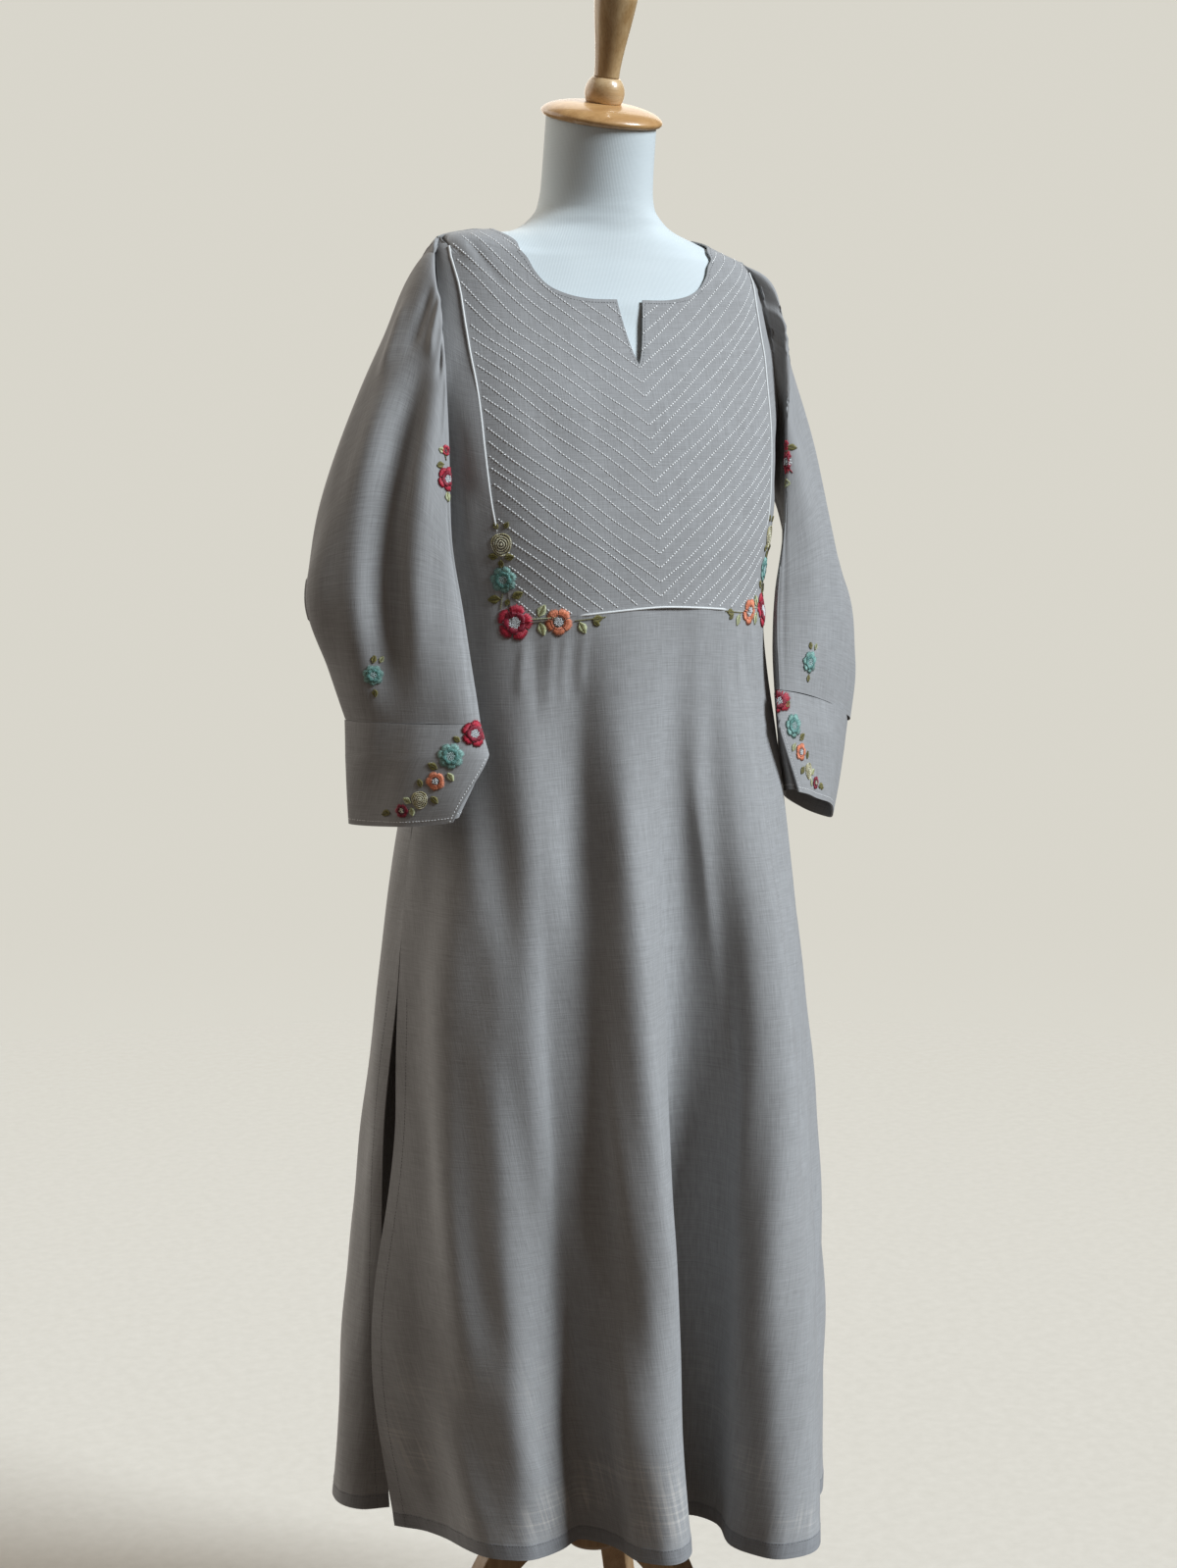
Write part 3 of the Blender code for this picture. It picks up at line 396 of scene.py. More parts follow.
def cloth_mesh(name, grids):
    """A mesh through grids of points, each made as a flat grid and then laid on its points. Its UV map
    holds the distances across and along the cloth in metres, so that a weave keeps its scale."""
    joined = bmesh.new()
    for number, (points, across, upward) in enumerate(grids):
        rows, columns = points.shape[:2]
        flat = bmesh.new()
        bmesh.ops.create_grid(flat, x_segments=columns - 1, y_segments=rows - 1, size=0.5)
        piece = mesh_from(f"{name}_{number}", flat)
        place = np.empty(len(piece.vertices) * 3)
        piece.vertices.foreach_get("co", place)
        place = place.reshape(-1, 3)
        column = np.rint((place[:, 0] + 0.5) * (columns - 1)).astype(int)
        row = np.rint((place[:, 1] + 0.5) * (rows - 1)).astype(int)
        piece.vertices.foreach_set("co", points[row, column].ravel())
        corner = np.empty(len(piece.loops), int)
        piece.loops.foreach_get("vertex_index", corner)
        layer = piece.uv_layers.new(name="Cloth")
        flat_place = np.stack([across[row, column], upward[row, column]], axis=-1)
        layer.data.foreach_set("uv", flat_place[corner].ravel())
        joined.from_mesh(piece)
        bpy.data.meshes.remove(piece)
    bmesh.ops.remove_doubles(joined, verts=joined.verts, dist=2e-6)
    for edge in joined.edges:
        edge.smooth = not edge.is_boundary
    for face in joined.faces:
        face.smooth = True
    return mesh_from(name, joined)


def placed(name, data, material):
    """An object of this mesh or curve in its material, which moves with the whole."""
    piece = bpy.data.objects.new(name, data)
    bpy.context.scene.collection.objects.link(piece)
    data.materials.append(material)
    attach(piece, "root")
    return piece


def cloth_piece(name, grids, material, thickness, node):
    """A sheet of cloth with its thickness on the inside, in the place of the solid of the same piece."""
    piece = placed(name, cloth_mesh(name, grids), material)
    wall = piece.modifiers.new("Cloth", "SOLIDIFY")
    wall.thickness = thickness
    wall.offset = -1
    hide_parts(node)
    return piece


class Finish:
    """A material whose shader has these settings, and the nodes that are added to it."""

    def __init__(self, name, roughness, **settings):
        self.material = bpy.data.materials.new(name)
        self.material.use_nodes = True
        self.nodes, self.links = self.material.node_tree.nodes, self.material.node_tree.links
        self.shader = self.nodes["Principled BSDF"]
        self.shader.inputs["Roughness"].default_value = roughness
        for setting, value in settings.items():
            self.shader.inputs[setting.replace("_", " ")].default_value = value

    def feed(self, socket, value):
        """Gives a node's input a number, a colour or another node's output."""
        if isinstance(value, bpy.types.NodeSocket):
            self.links.new(value, socket)
        else:
            socket.default_value = (*value, 1.0) if socket.type == "RGBA" else value

    def node(self, kind, **inputs):
        """A new node of this kind, with what each of these inputs is fed."""
        made = self.nodes.new(f"ShaderNode{kind}")
        for name, value in inputs.items():
            self.feed(made.inputs[name.replace("_", " ")], value)
        return made

    def place(self):
        """Places in the piece's own space."""
        return self.node("TexCoord").outputs["Object"]

    def cloth_place(self):
        """Places on the flat cloth, in metres across and along it."""
        made = self.node("UVMap")
        made.uv_map = "Cloth"
        return made.outputs["UV"]

    def noise(self, place, scale, detail=3.0, roughness=0.55):
        """A noise with its own scale along each axis of the place it reads."""
        scaled = self.node("Mapping", Scale=scale, Vector=place).outputs["Vector"]
        made = self.node("TexNoise", Scale=1.0, Detail=detail, Roughness=roughness, Vector=scaled)
        return made.outputs["Fac"]

    def ramp(self, value, stops):
        """A colour ramp through (position, colour) stops, in which a number stands for a grey."""
        made = self.node("ValToRGB", Fac=value)
        elements = made.color_ramp.elements
        while len(elements) < len(stops):
            elements.new(0.5)
        for element, (position, colour) in zip(elements, stops):
            element.position = position
            element.color = (*colour, 1.0) if isinstance(colour, tuple) else (colour, colour, colour, 1.0)
        return made.outputs["Color"]

    def calculated(self, operation, a, b):
        made = self.node("Math")
        made.operation = operation
        for socket, value in zip(made.inputs, (a, b)):
            self.feed(socket, value)
        return made.outputs["Value"]

    def plus(self, a, b):
        return self.calculated("ADD", a, b)

    def times(self, a, b):
        return self.calculated("MULTIPLY", a, b)

    def tinted(self, kind, share, a, b):
        """Two colours mixed, by a share that is a number or a value."""
        made = self.node("Mix")
        made.data_type = "RGBA"
        made.blend_type = kind
        for socket, value in ((made.inputs["Factor"], share), (made.inputs[6], a), (made.inputs[7], b)):
            self.feed(socket, value)
        return made.outputs[2]

    def coloured(self, colour):
        self.feed(self.shader.inputs["Base Color"], colour)

    def bumped(self, height, strength, distance):
        bump = self.node("Bump", Strength=strength, Distance=distance, Height=height)
        self.feed(self.shader.inputs["Normal"], bump.outputs["Normal"])


LINEN_LIGHT, LINEN_DARK = (0.395, 0.398, 0.402), (0.275, 0.274, 0.274)


def make_linen(name, hem=0.0):
    """Plain-woven grey linen: fine warp and weft, with slubs where a thread thickens, and a dull sheen.
    A hem of this depth is darkened with painted shade, where its two layers let no light through from behind,
    and above it, in patches, the cloth is lightened with painted light that shines through it."""
    finish = Finish(name, 0.88, Sheen_Weight=0.16, Sheen_Roughness=0.5, Specular_IOR_Level=0.2)
    place = finish.cloth_place()
    warp = finish.noise(place, (1300, 60, 1), 2.0)
    weft = finish.noise(place, (50, 1400, 1), 2.0)
    slub = finish.noise(place, (640, 14, 1), 1.0)
    weft_slub = finish.noise(place, (12, 700, 1), 1.0)
    cloud = finish.noise(place, (9, 6, 1), 3.0)
    threads = finish.plus(warp, weft)
    slubs = finish.plus(slub, weft_slub)
    weave = finish.plus(finish.times(threads, 0.34), finish.times(slubs, 0.16))
    colour = finish.ramp(weave, ((0.38, LINEN_DARK), (0.62, LINEN_LIGHT)))
    shade = finish.ramp(cloud, ((0.35, (0.95, 0.945, 0.94)), (0.65, 1.0)))
    colour = finish.tinted("MULTIPLY", 1.0, colour, shade)
    if hem:
        rise = finish.node("SeparateXYZ", Vector=place).outputs["Y"]
        # Painted shade: darker in the turned hem's band, where less light from behind shows through two
        # layers.
        hem_shade = finish.ramp(finish.times(rise, 0.5 / hem), ((0.48, (0.76, 0.77, 0.79)), (0.52, 1.0)))
        # Painted light: above the hem, in patches and along crossed threads, the cloth is lightened towards a
        # warm pale grey, as light from behind shining through it.
        above_hem = finish.ramp(rise, ((hem, 0.0), (hem + 0.02, 1.0), (0.10, 0.6), (0.22, 0.0)))
        patches = finish.noise(place, (9, 9, 1), 2.0)
        patches = finish.ramp(patches, ((0.50, 0.0), (0.62, 1.0)))
        backlit_patches = finish.times(above_hem, patches)
        crossed = finish.plus(*(
            finish.ramp(finish.noise(place, scale, 1.0), ((0.50, 0.0), (0.64, 1.0)))
            for scale in ((330, 9, 1), (9, 330, 1))))
        through = finish.times(backlit_patches, finish.times(crossed, 0.38))
        colour = finish.tinted("MULTIPLY", 1.0, colour, hem_shade)
        colour = finish.tinted("MIX", through, colour, (0.60, 0.57, 0.53))
        weave = finish.plus(weave, finish.times(hem_shade, -3.0))
    finish.coloured(colour)
    finish.bumped(weave, 0.4, 0.0009)
    return finish.material


LINEN, HEMMED_LINEN = make_linen("grey_slub_linen"), make_linen("grey_slub_linen_hemmed", HEM)

SKIRT_ROWS = 24 * FINER
INNER_COLUMNS, WING_COLUMNS = 13 * FINER, 7 * FINER
FRONT_CREASES = as_rows(Crease, (
    # across, height, across at the end, height at the end, width, depth, bend
    (-0.030, 1.090, -0.074, 0.38, 0.022, 0.0050, 0.002),     # ridge under the yoke's middle
    (-0.076, 1.085, -0.132, 0.36, 0.024, -0.0115, 0.003),    # trough beside it
    (-0.122, 1.075, -0.190, 0.42, 0.020, 0.0055, -0.003),    # ridge below the flowers
    (-0.222, 0.760, -0.262, 0.36, 0.018, -0.0036, 0.002),
    (-0.226, 0.900, -0.300, 0.30, 0.020, 0.0030, 0.002),
    (0.024, 1.090, 0.000, 0.34, 0.020, -0.0130, -0.001),     # the deep trough on the right
    (0.030, 1.030, 0.010, 0.28, 0.033, -0.0180, -0.002),
    (-0.046, 1.000, -0.064, 0.42, 0.014, 0.0060, 0.002),     # the edge of the fold beside it
    (0.064, 1.095, 0.050, 0.56, 0.017, -0.0105, 0.001),
    (0.106, 1.080, 0.106, 0.44, 0.020, 0.0065, 0.002),
    (0.132, 1.060, 0.152, 0.40, 0.018, -0.0034, 0.002),
    (0.164, 1.000, 0.196, 0.42, 0.018, 0.0036, 0.002),
    (0.200, 0.920, 0.240, 0.34, 0.020, -0.0040, 0.003),
    (0.236, 0.760, 0.276, 0.32, 0.018, 0.0034, -0.002),
    # the two main troughs begin right at the yoke's seam
    (-0.074, 1.092, -0.088, 0.800, 0.020, -0.0048, 0.001),
    (0.098, 1.090, 0.104, 0.800, 0.022, -0.0052, 0.001),
    # short gathers below the yoke's corner
    (-0.128, 1.078, -0.134, 1.015, 0.0045, 0.0016, 0.001),
    (-0.118, 1.076, -0.120, 0.99, 0.0045, -0.0011, 0.001),
    (-0.104, 1.080, -0.110, 1.005, 0.0050, 0.0013, -0.001),
    (-0.090, 1.083, -0.097, 1.010, 0.0045, 0.0013, 0.001),
    (-0.073, 1.086, -0.080, 1.020, 0.0050, 0.0012, 0.001),
    (0.098, 1.080, 0.104, 1.010, 0.0050, 0.0015, 0.001),
    (0.114, 1.078, 0.118, 1.000, 0.0045, -0.0014, 0.001),
    (0.126, 1.077, 0.132, 1.012, 0.0045, 0.0014, -0.001),
))


FRONT_PARTED, BACK_PARTED = -0.0050, 0.0060     # how far out each panel stands beside the slits
PARTED_REACH = 0.045                            # how far in from its edge that fades away


def parted(points, amount):
    """Moves the free edges beside the slits out from the body by this much, or in where it is negative."""
    height = points[..., 2]
    opened = eased((SLIT_TOP - height) / 0.14) * (1 - 0.6 * eased((0.48 - height) / 0.16))
    moved = points.copy()
    for edge in (0, -1):
        edge_points = points[:, edge][:, None]
        near = eased(1 - np.linalg.norm(points - edge_points, axis=-1) / PARTED_REACH)
        moved[..., 0] += amount * opened * near * np.sign(edge_points[..., 0])
    return moved


def make_front_grids():
    inner = np.linspace(0, CORNER_SHARE, INNER_COLUMNS + 1)
    outer = np.linspace(CORNER_SHARE, 1, WING_COLUMNS + 1)[1:]
    half = np.concatenate([inner, outer])
    shares = np.concatenate([-half[:0:-1], half])
    rise = np.linspace(0, 1, SKIRT_ROWS + 1)[:, None]
    heights = HEM_HEIGHT + (yoke_edge_height(shares) - HEM_HEIGHT) * rise
    skirt = hanging(shares[None, :], heights)
    seam = yoke_seam(SIDE_ROWS + ARMHOLE_ROWS)
    side = [(math.pi / 2, z) for z in np.linspace(YOKE_BOTTOM - YOKE_DIP, UNDERARM, SIDE_ROWS + 1)]
    hole = armhole(FRONT_INSET, np.linspace(0, SEAM_END_TURN, ARMHOLE_ROWS + 1))[1:]
    # Above the seam's end, the side panel narrows to a point at the shoulder's tip.
    last = armhole(FRONT_INSET, np.linspace(SEAM_END_TURN, math.pi, FINER + 1))[1:]
    edge = np.vstack([side, hole, last])
    to_tip = np.linspace(0, 1, FINER + 1)[1:, None]
    seam = np.vstack([seam, seam[-1] * (1 - to_tip) + np.array((math.pi / 2, SHOULDER_TIP)) * to_tip])
    s = np.linspace(0, 1, WING_COLUMNS + 1)[None, :, None]
    spots = seam[:, None, :] * (1 - s) + edge[:, None, :] * s
    wing = body(spots[..., 0], spots[..., 1])
    wing[0] = skirt[-1, -WING_COLUMNS - 1:]
    wing[1:, 0, 0] += SEAM_GAP / 2
    skirt[:, (0, -1), 1] -= SIDE_GAP / 2
    wing[:, -1, 1] -= SIDE_GAP / 2
    return settled(skirt), settled(wing)


def mirrored(grid):
    """The same grid for the other side of the body, with its faces still pointing out."""
    flipped = grid[:, ::-1].copy()
    flipped[..., 0] *= -1
    return flipped


def upward_of(points, column):
    """The length up a column of the grid, for each of its points."""
    return np.broadcast_to(run_along(points[:, column])[:, None], points.shape[:2])


skirt, wing = make_front_grids()
skirt_middle = skirt.shape[1] // 2
skirt_across = across_of(skirt, skirt_middle)
wing_across = across_of(wing, 0) + skirt_across[-1, -WING_COLUMNS - 1]
skirt = creased(rumpled(skirt, skirt_across, 3), skirt_across, FRONT_CREASES)
skirt_up = upward_of(skirt, skirt_middle)
wing_up = upward_of(wing, 0) + skirt_up[-1, 0]
skirt = parted(hem_band(skirt, skirt_up, skirt_across), FRONT_PARTED)
WING_CREASES = as_rows(Crease, (
    # across, height, across at the end, height at the end, width, depth, bend
    (0.168, 1.320, 0.186, 1.262, 0.0070, 0.0016, 0.001),
    (0.162, 1.262, 0.190, 1.186, 0.0090, -0.0020, 0.002),
    (0.160, 1.205, 0.186, 1.128, 0.0100, 0.0022, 0.002),
    (0.150, 1.150, 0.172, 1.092, 0.0100, -0.0018, 0.001),
))
wing = creased(wing, wing_across, WING_CREASES)
left_wing = rumpled(wing, wing_across, 4)
left_wing[0] = skirt[-1, -WING_COLUMNS - 1:]
right_wing = settled(rumpled(mirrored(wing), -wing_across[:, ::-1], 5))
right_wing[0] = skirt[-1, :WING_COLUMNS + 1]
front_panel = cloth_piece("linen_front_panel", [
    (skirt, skirt_across, skirt_up),
    (left_wing, wing_across, wing_up),
    (right_wing, -wing_across[:, ::-1], wing_up),
], HEMMED_LINEN, CLOTH, "front_panel")

# ================ the yoke
# Two halves that meet at the centre front, of the same linen, quilted with white running stitches in
# chevrons. Each runs up to the neckline, with a notch between them, and to the shoulder seam.
NOTCH_TIP = 1.3145
FRONT_NECK = as_rows(Mark, (
    (0.0135, 1.3725), (0.040, 1.3728), (0.062, 1.3765), (0.079, 1.384), (0.0905, 1.396), (0.098, 1.409),
    (0.103, 1.422),
))
YOKE_COLUMNS, NOTCH_COLUMNS = 13 * FINER, 3 * FINER
YOKE_CREASES = as_rows(Crease, (
    (-0.152, 1.432, -0.118, 1.378, 0.0035, -0.0012, 0.002),  # from the wearer's right shoulder
    (-0.160, 1.428, -0.146, 1.402, 0.0060, 0.0012, 0.000),
    (-0.120, 1.300, -0.070, 1.215, 0.0180, -0.0012, 0.004),
    (0.128, 1.395, 0.092, 1.345, 0.0090, -0.0010, -0.003),
    (0.070, 1.240, 0.120, 1.150, 0.0200, -0.0012, 0.004),
))


def patch(bottom, top, right, left):
    """A Coons patch in (angle, height) between four edges. Rows run up, columns from right to left."""
    rows, columns = len(right), len(bottom)
    even = np.linspace(0, 1, columns)
    # Columns that crowd together at the start of the top edge stay as close on their way up.
    crowded = even * even + (1 - even) * (top[:, 0] - top[0, 0]) / (top[-1, 0] - top[0, 0])
    t = np.linspace(0, 1, rows)[:, None, None]
    s = ((1 - t[..., 0]) * even + t[..., 0] * crowded)[..., None]
    return (
        (1 - t) * bottom + t * top + (1 - s) * right[:, None] + s * left[:, None]
        - (1 - s) * (1 - t) * bottom[0] - s * (1 - t) * bottom[-1]
        - (1 - s) * t * top[0] - s * t * top[-1]
    )


RADIAN_REACH = 0.17             # how far a radian reaches round the bodice, about


def relaxed(spots, rounds=2500):
    """The grid evened out between its fixed edges, so that it follows a hollow edge without folding."""
    place = spots * (RADIAN_REACH, 1.0)
    inner = place[1:-1, 1:-1]
    for _ in range(rounds):
        right, left, above, below = place[1:-1, 2:], place[1:-1, :-2], place[2:, 1:-1], place[:-2, 1:-1]
        across, along = (right - left) / 2, (above - below) / 2
        a, c = (along**2).sum(-1, keepdims=True), (across**2).sum(-1, keepdims=True)
        b = (across * along).sum(-1, keepdims=True)
        twist = (place[2:, 2:] - place[2:, :-2] - place[:-2, 2:] + place[:-2, :-2]) / 4
        inner += (a * (right + left) + c * (above + below) - 2 * b * twist) / (2 * (a + c) + 1e-15) - inner
    return place / (RADIAN_REACH, 1.0)


def way_across_and_up(spots, steps=24):
    """How far places on the bodice lie round it from the centre front and up it from the yoke's foot."""
    angle, height = spots[..., 0], spots[..., 1]
    foot = YOKE_BOTTOM - YOKE_DIP
    shares = np.linspace(0, 1, steps + 1)[:, None, None]
    round_it = body(angle * shares, height + 0 * shares)
    up_it = body(angle + 0 * shares, foot + (height - foot) * shares)
    return [np.linalg.norm(np.diff(way, axis=0), axis=-1).sum(axis=0) for way in (round_it, up_it)]


def shoulder_seam(rows):
    return np.column_stack([np.full(rows, math.pi / 2), np.linspace(SHOULDER_TIP, NECK_POINT, rows)])


def make_yoke_grid():
    shares = np.linspace(0, CORNER_SHARE, YOKE_COLUMNS + 1)
    heights = yoke_edge_height(shares)
    bottom = np.column_stack([share_angle(shares, heights), heights])
    notch = [(0, NOTCH_TIP), (angle_of(FRONT_NECK[0].out, FRONT_NECK[0].height), FRONT_NECK[0].height)]
    notch = np.column_stack([np.linspace(notch[0][k], notch[1][k], 9) for k in (0, 1)])
    neck = np.vstack([on_body(FRONT_NECK), [(math.pi / 2, NECK_POINT)]])
    top = np.vstack([
        spaced(notch, NOTCH_COLUMNS, body)[:-1],
        spaced(rounded(neck), YOKE_COLUMNS - NOTCH_COLUMNS, body),
    ])
    side = np.vstack([yoke_seam(SIDE_ROWS + ARMHOLE_ROWS), shoulder_seam(SEAM_ROWS + 1)])
    middle = np.column_stack([np.zeros(len(side)), np.linspace(YOKE_BOTTOM, NOTCH_TIP, len(side))])
    spots = relaxed(patch(bottom, top, middle, side))
    points = body(spots[..., 0], spots[..., 1])
    points[:, 0, 0] = np.maximum(points[:, 0, 0], 0)
    points[0, :, 2] += SEAM_GAP
    points[:, -1, 1] -= SEAM_GAP
    points[1:-SEAM_ROWS - 1, -1, 0] -= SEAM_GAP / 2
    return points, *way_across_and_up(spots)


yoke_points, yoke_across, yoke_up = make_yoke_grid()
yokes, yoke_grids = {}, {}
for side, points, across, up in (
    ("left", yoke_points, yoke_across, yoke_up),
    ("right", mirrored(yoke_points), -yoke_across[:, ::-1], yoke_up[:, ::-1]),
):
    points = creased(settled(points), across, YOKE_CREASES)
    points = rumpled(points, across, 7 if side == "left" else 8, amount=0.00010,
                     fade=eased((np.abs(across) - 0.002) / 0.03))
    yoke_grids[side] = points
    yokes[side] = cloth_piece(f"linen_yoke_{side}", [(points, across, up)], LINEN, CLOTH, f"yoke_{side}")


# ================ the chevron stitching
# Rows of running stitch in thick white cotton, 13 mm apart, which climb from the centre front to the
# yoke's outer seam. Each stitch lies on the linen, a little uneven in length like hand sewing.
STITCH_ROWS_APART = 0.0127      # up the centre front, from one chevron's tip to the next
LOWEST_TIP, HIGHEST_TIP = 0.93, 1.44
CHEVRON_SLOPE = math.radians(36)
CHEVRON_STEP, CHEVRON_STEPS = 0.002, 210        # a row is followed outwards in steps of this length
SEAM_MARGIN, FOOT_MARGIN, NECK_MARGIN = 0.016, 0.0025, 0.003    # the first in radians
HIGHEST_STITCH = 1.42
STITCH_PITCH, STITCH_WIDTH = 0.0030, 0.0015
STITCH_LENGTHS = {"left": 0.0029, "right": 0.0023}
STITCH_RISE = 0.15              # from the cloth to a stitch's middle, as a share of its width
THREAD_WHITE = (0.97, 0.97, 0.96)


def make_thread(name, colour):
    """Twisted cotton thread, with painted shade here and there where its plies turn away."""
    finish = Finish(name, 0.62, Sheen_Weight=0.3, Sheen_Roughness=0.4)
    place = finish.place()
    twist = finish.noise(place, (900, 900, 900), 2.0)
    # Painted shade: the thread is darkened in patches where its plies turn away.
    shade = finish.ramp(twist, ((0.3, tuple(0.82 * c for c in colour)), (0.7, colour)))
    finish.coloured(shade)
    finish.bumped(twist, 0.4, 0.0003)
    return finish.material


WHITE_THREAD = make_thread("white_cotton_thread", THREAD_WHITE)


def bead_template():
    """A small round bead, which is drawn out into stitches and knots: its places and its faces."""
    bead = bmesh.new()
    bmesh.ops.create_icosphere(bead, subdivisions=1, radius=0.5)
    bead.verts.index_update()
    places = np.array([vertex.co[:] for vertex in bead.verts])
    faces = np.array([[vertex.index for vertex in face.verts] for face in bead.faces])
    bead.free()
    return places, faces


BEAD = bead_template()


def joined_beads(name, middles, axes, material, colours=None):
    """One mesh of many drawn-out beads. axes holds each one's length, width and height as vectors."""
    places, faces = BEAD
    count = len(middles)
    points = middles[:, None] + np.einsum("vk,nkc->nvc", places, axes)
    corners = (faces[None] + len(places) * np.arange(count)[:, None, None]).reshape(-1)
    mesh = bpy.data.meshes.new(name)
    mesh.vertices.add(count * len(places))
    mesh.vertices.foreach_set("co", points.ravel())
    mesh.loops.add(len(corners))
    mesh.loops.foreach_set("vertex_index", corners)
    mesh.polygons.add(count * len(faces))
    mesh.polygons.foreach_set("loop_start", np.arange(0, len(corners), 3))
    if colours is not None:
        layer = mesh.attributes.new("Thread", "FLOAT_COLOR", "POINT")
        solid_colours = np.column_stack([colours, np.ones(count)])
        layer.data.foreach_set("color", np.repeat(solid_colours, len(places), axis=0).ravel())
    mesh.update(calc_edges=True)
    mesh.validate()
    mesh.shade_smooth()
    return placed(name, mesh, material)


def running_stitches(path, normals, pitch, length, width, random):
    """The middles and axes of stitches along a line of points that lies on the cloth."""
    run = run_along(path)
    if run[-1] < pitch:
        return np.zeros((0, 3)), np.zeros((0, 3, 3))
    at = np.arange(pitch / 2, run[-1] - pitch / 2, pitch)
    at = at + random.uniform(-0.12, 0.12, len(at)) * pitch
    middle = np.column_stack([np.interp(at, run, path[:, k]) for k in range(3)])
    ahead = np.column_stack([np.interp(at + pitch / 3, run, path[:, k]) for k in range(3)]) - middle
    normal = np.column_stack([np.interp(at, run, normals[:, k]) for k in range(3)])
    ahead /= np.linalg.norm(ahead, axis=1, keepdims=True)
    normal -= ahead * np.sum(ahead * normal, axis=1, keepdims=True)
    normal /= np.linalg.norm(normal, axis=1, keepdims=True)
    lengths = length * random.uniform(0.85, 1.15, (len(at), 1))
    axes = np.stack([ahead * lengths, np.cross(normal, ahead) * width, normal * width * 0.6], axis=1)
    return middle + normal * width * STITCH_RISE, axes


def body_frame(angle, height, step=1e-3):
    """Places on the bodice, the cloth's directions round and up it there, and its unit normals."""
    round_it = (body(angle + step, height) - body(angle - step, height)) / (2 * step)
    up_it = (body(angle, height + step) - body(angle, height - step)) / (2 * step)
    normal = np.cross(round_it, up_it)
    normal /= np.linalg.norm(normal, axis=-1, keepdims=True)
    return body(angle, height), round_it, up_it, normal


def tree_of(*pieces):
    """The outside of pieces of cloth, to find the nearest places on."""
    points, faces = [], []
    for piece in pieces:
        faces += [[index + len(points) for index in face.vertices] for face in piece.data.polygons]
        points += [vertex.co.copy() for vertex in piece.data.vertices]
    return BVHTree.FromPolygons(points, faces)


def cloth_under(tree, point, normal, above, reach):
    """The cloth's place and normal under a point, or the nearest ones where none lies under it."""
    found = tree.ray_cast(point + normal * above, -normal, reach)
    return (found if found[0] is not None else tree.find_nearest(point))[:2]


def laid_on(tree, points, normals):
    """The points moved onto the cloth along their normals, and the cloth's own normals there."""
    places, facing = np.array(points, float), np.zeros((len(points), 3))
    for number, (point, normal) in enumerate(zip(points, normals)):
        places[number], facing[number] = cloth_under(tree, Vector(point), Vector(normal), 0.012, 0.03)
    return places, facing


def chevron_lines(random):
    """The rows of stitching on half of the yoke, as their angles and heights at each step outwards."""
    tips = np.arange(LOWEST_TIP, HIGHEST_TIP, STITCH_ROWS_APART)
    angle, height = np.full(len(tips), 1e-4), tips.copy()
    drift = random.uniform(0, 2 * math.pi, len(tips))
    track = []
    for number in range(CHEVRON_STEPS):
        track.append((angle, height))
        _, round_it, up_it, _ = body_frame(angle, height)
        out = round_it / np.linalg.norm(round_it, axis=-1, keepdims=True)
        slope = CHEVRON_SLOPE + 0.05 * np.sin(number * CHEVRON_STEP * 55 + drift)
        leaning = np.sum(up_it * out, axis=-1)
        rise = np.sin(slope) / np.linalg.norm(up_it - out * leaning[:, None], axis=-1)
        turn = (np.cos(slope) - rise * leaning) / np.linalg.norm(round_it, axis=-1)
        angle, height = angle + turn * CHEVRON_STEP, height + rise * CHEVRON_STEP
    return np.array(track).transpose(2, 1, 0)


def inside_yoke(angle, height):
    """Whether a place lies on the yoke, a few millimetres clear of its edges."""
    x = body(angle, height)[..., 0]
    seam_line = yoke_seam(200)
    seam = np.interp(height, seam_line[:, 1], seam_line[:, 0])
    foot = YOKE_BOTTOM - YOKE_DIP * np.clip(x / YOKE_CORNER, 0, 1) ** 1.5
    marks = [(0.0, NOTCH_TIP), *FRONT_NECK, (0.105, NECK_POINT)]
    neck = np.interp(x, [mark[0] for mark in marks], [mark[1] for mark in marks])
    below_neck = height < np.minimum(neck - NECK_MARGIN, HIGHEST_STITCH)
    return (angle < seam - SEAM_MARGIN) & (height > foot + FOOT_MARGIN) & below_neck


def make_chevrons(side_name, side, seed):
    random = np.random.RandomState(seed)
    tree = tree_of(yokes[side_name])
    middles, axes = [], []
    for angle, height in chevron_lines(random):
        inside = np.flatnonzero(inside_yoke(angle, height))
        for kept in np.split(inside, np.flatnonzero(np.diff(inside) > 1) + 1):
            if len(kept) < 4:
                continue
            places, _, _, normals = body_frame(side * angle[kept], height[kept])
            places, normals = laid_on(tree, settled(places), normals)
            middle, axis = running_stitches(
                places, normals, STITCH_PITCH, STITCH_LENGTHS[side_name], STITCH_WIDTH, random)
            middles.append(middle)
            axes.append(axis)
    piece = joined_beads(f"chevron_stitches_{side_name}", np.concatenate(middles), np.concatenate(axes),
                         WHITE_THREAD)
    return piece


chevrons = {"left": make_chevrons("left", 1, 11), "right": make_chevrons("right", -1, 12)}


# ================ the piping
# White cotton cord, folded into the yoke's outer and lower seams so that a thin rounded edge shows.
# It sinks into the cloth at the lower corners, where the flowers are worked over it.
PIPING_RADIUS = 0.0010
SPRAY_TOP, SPRAY_INNER = 1.172, 0.070     # where the flowers cover the cord


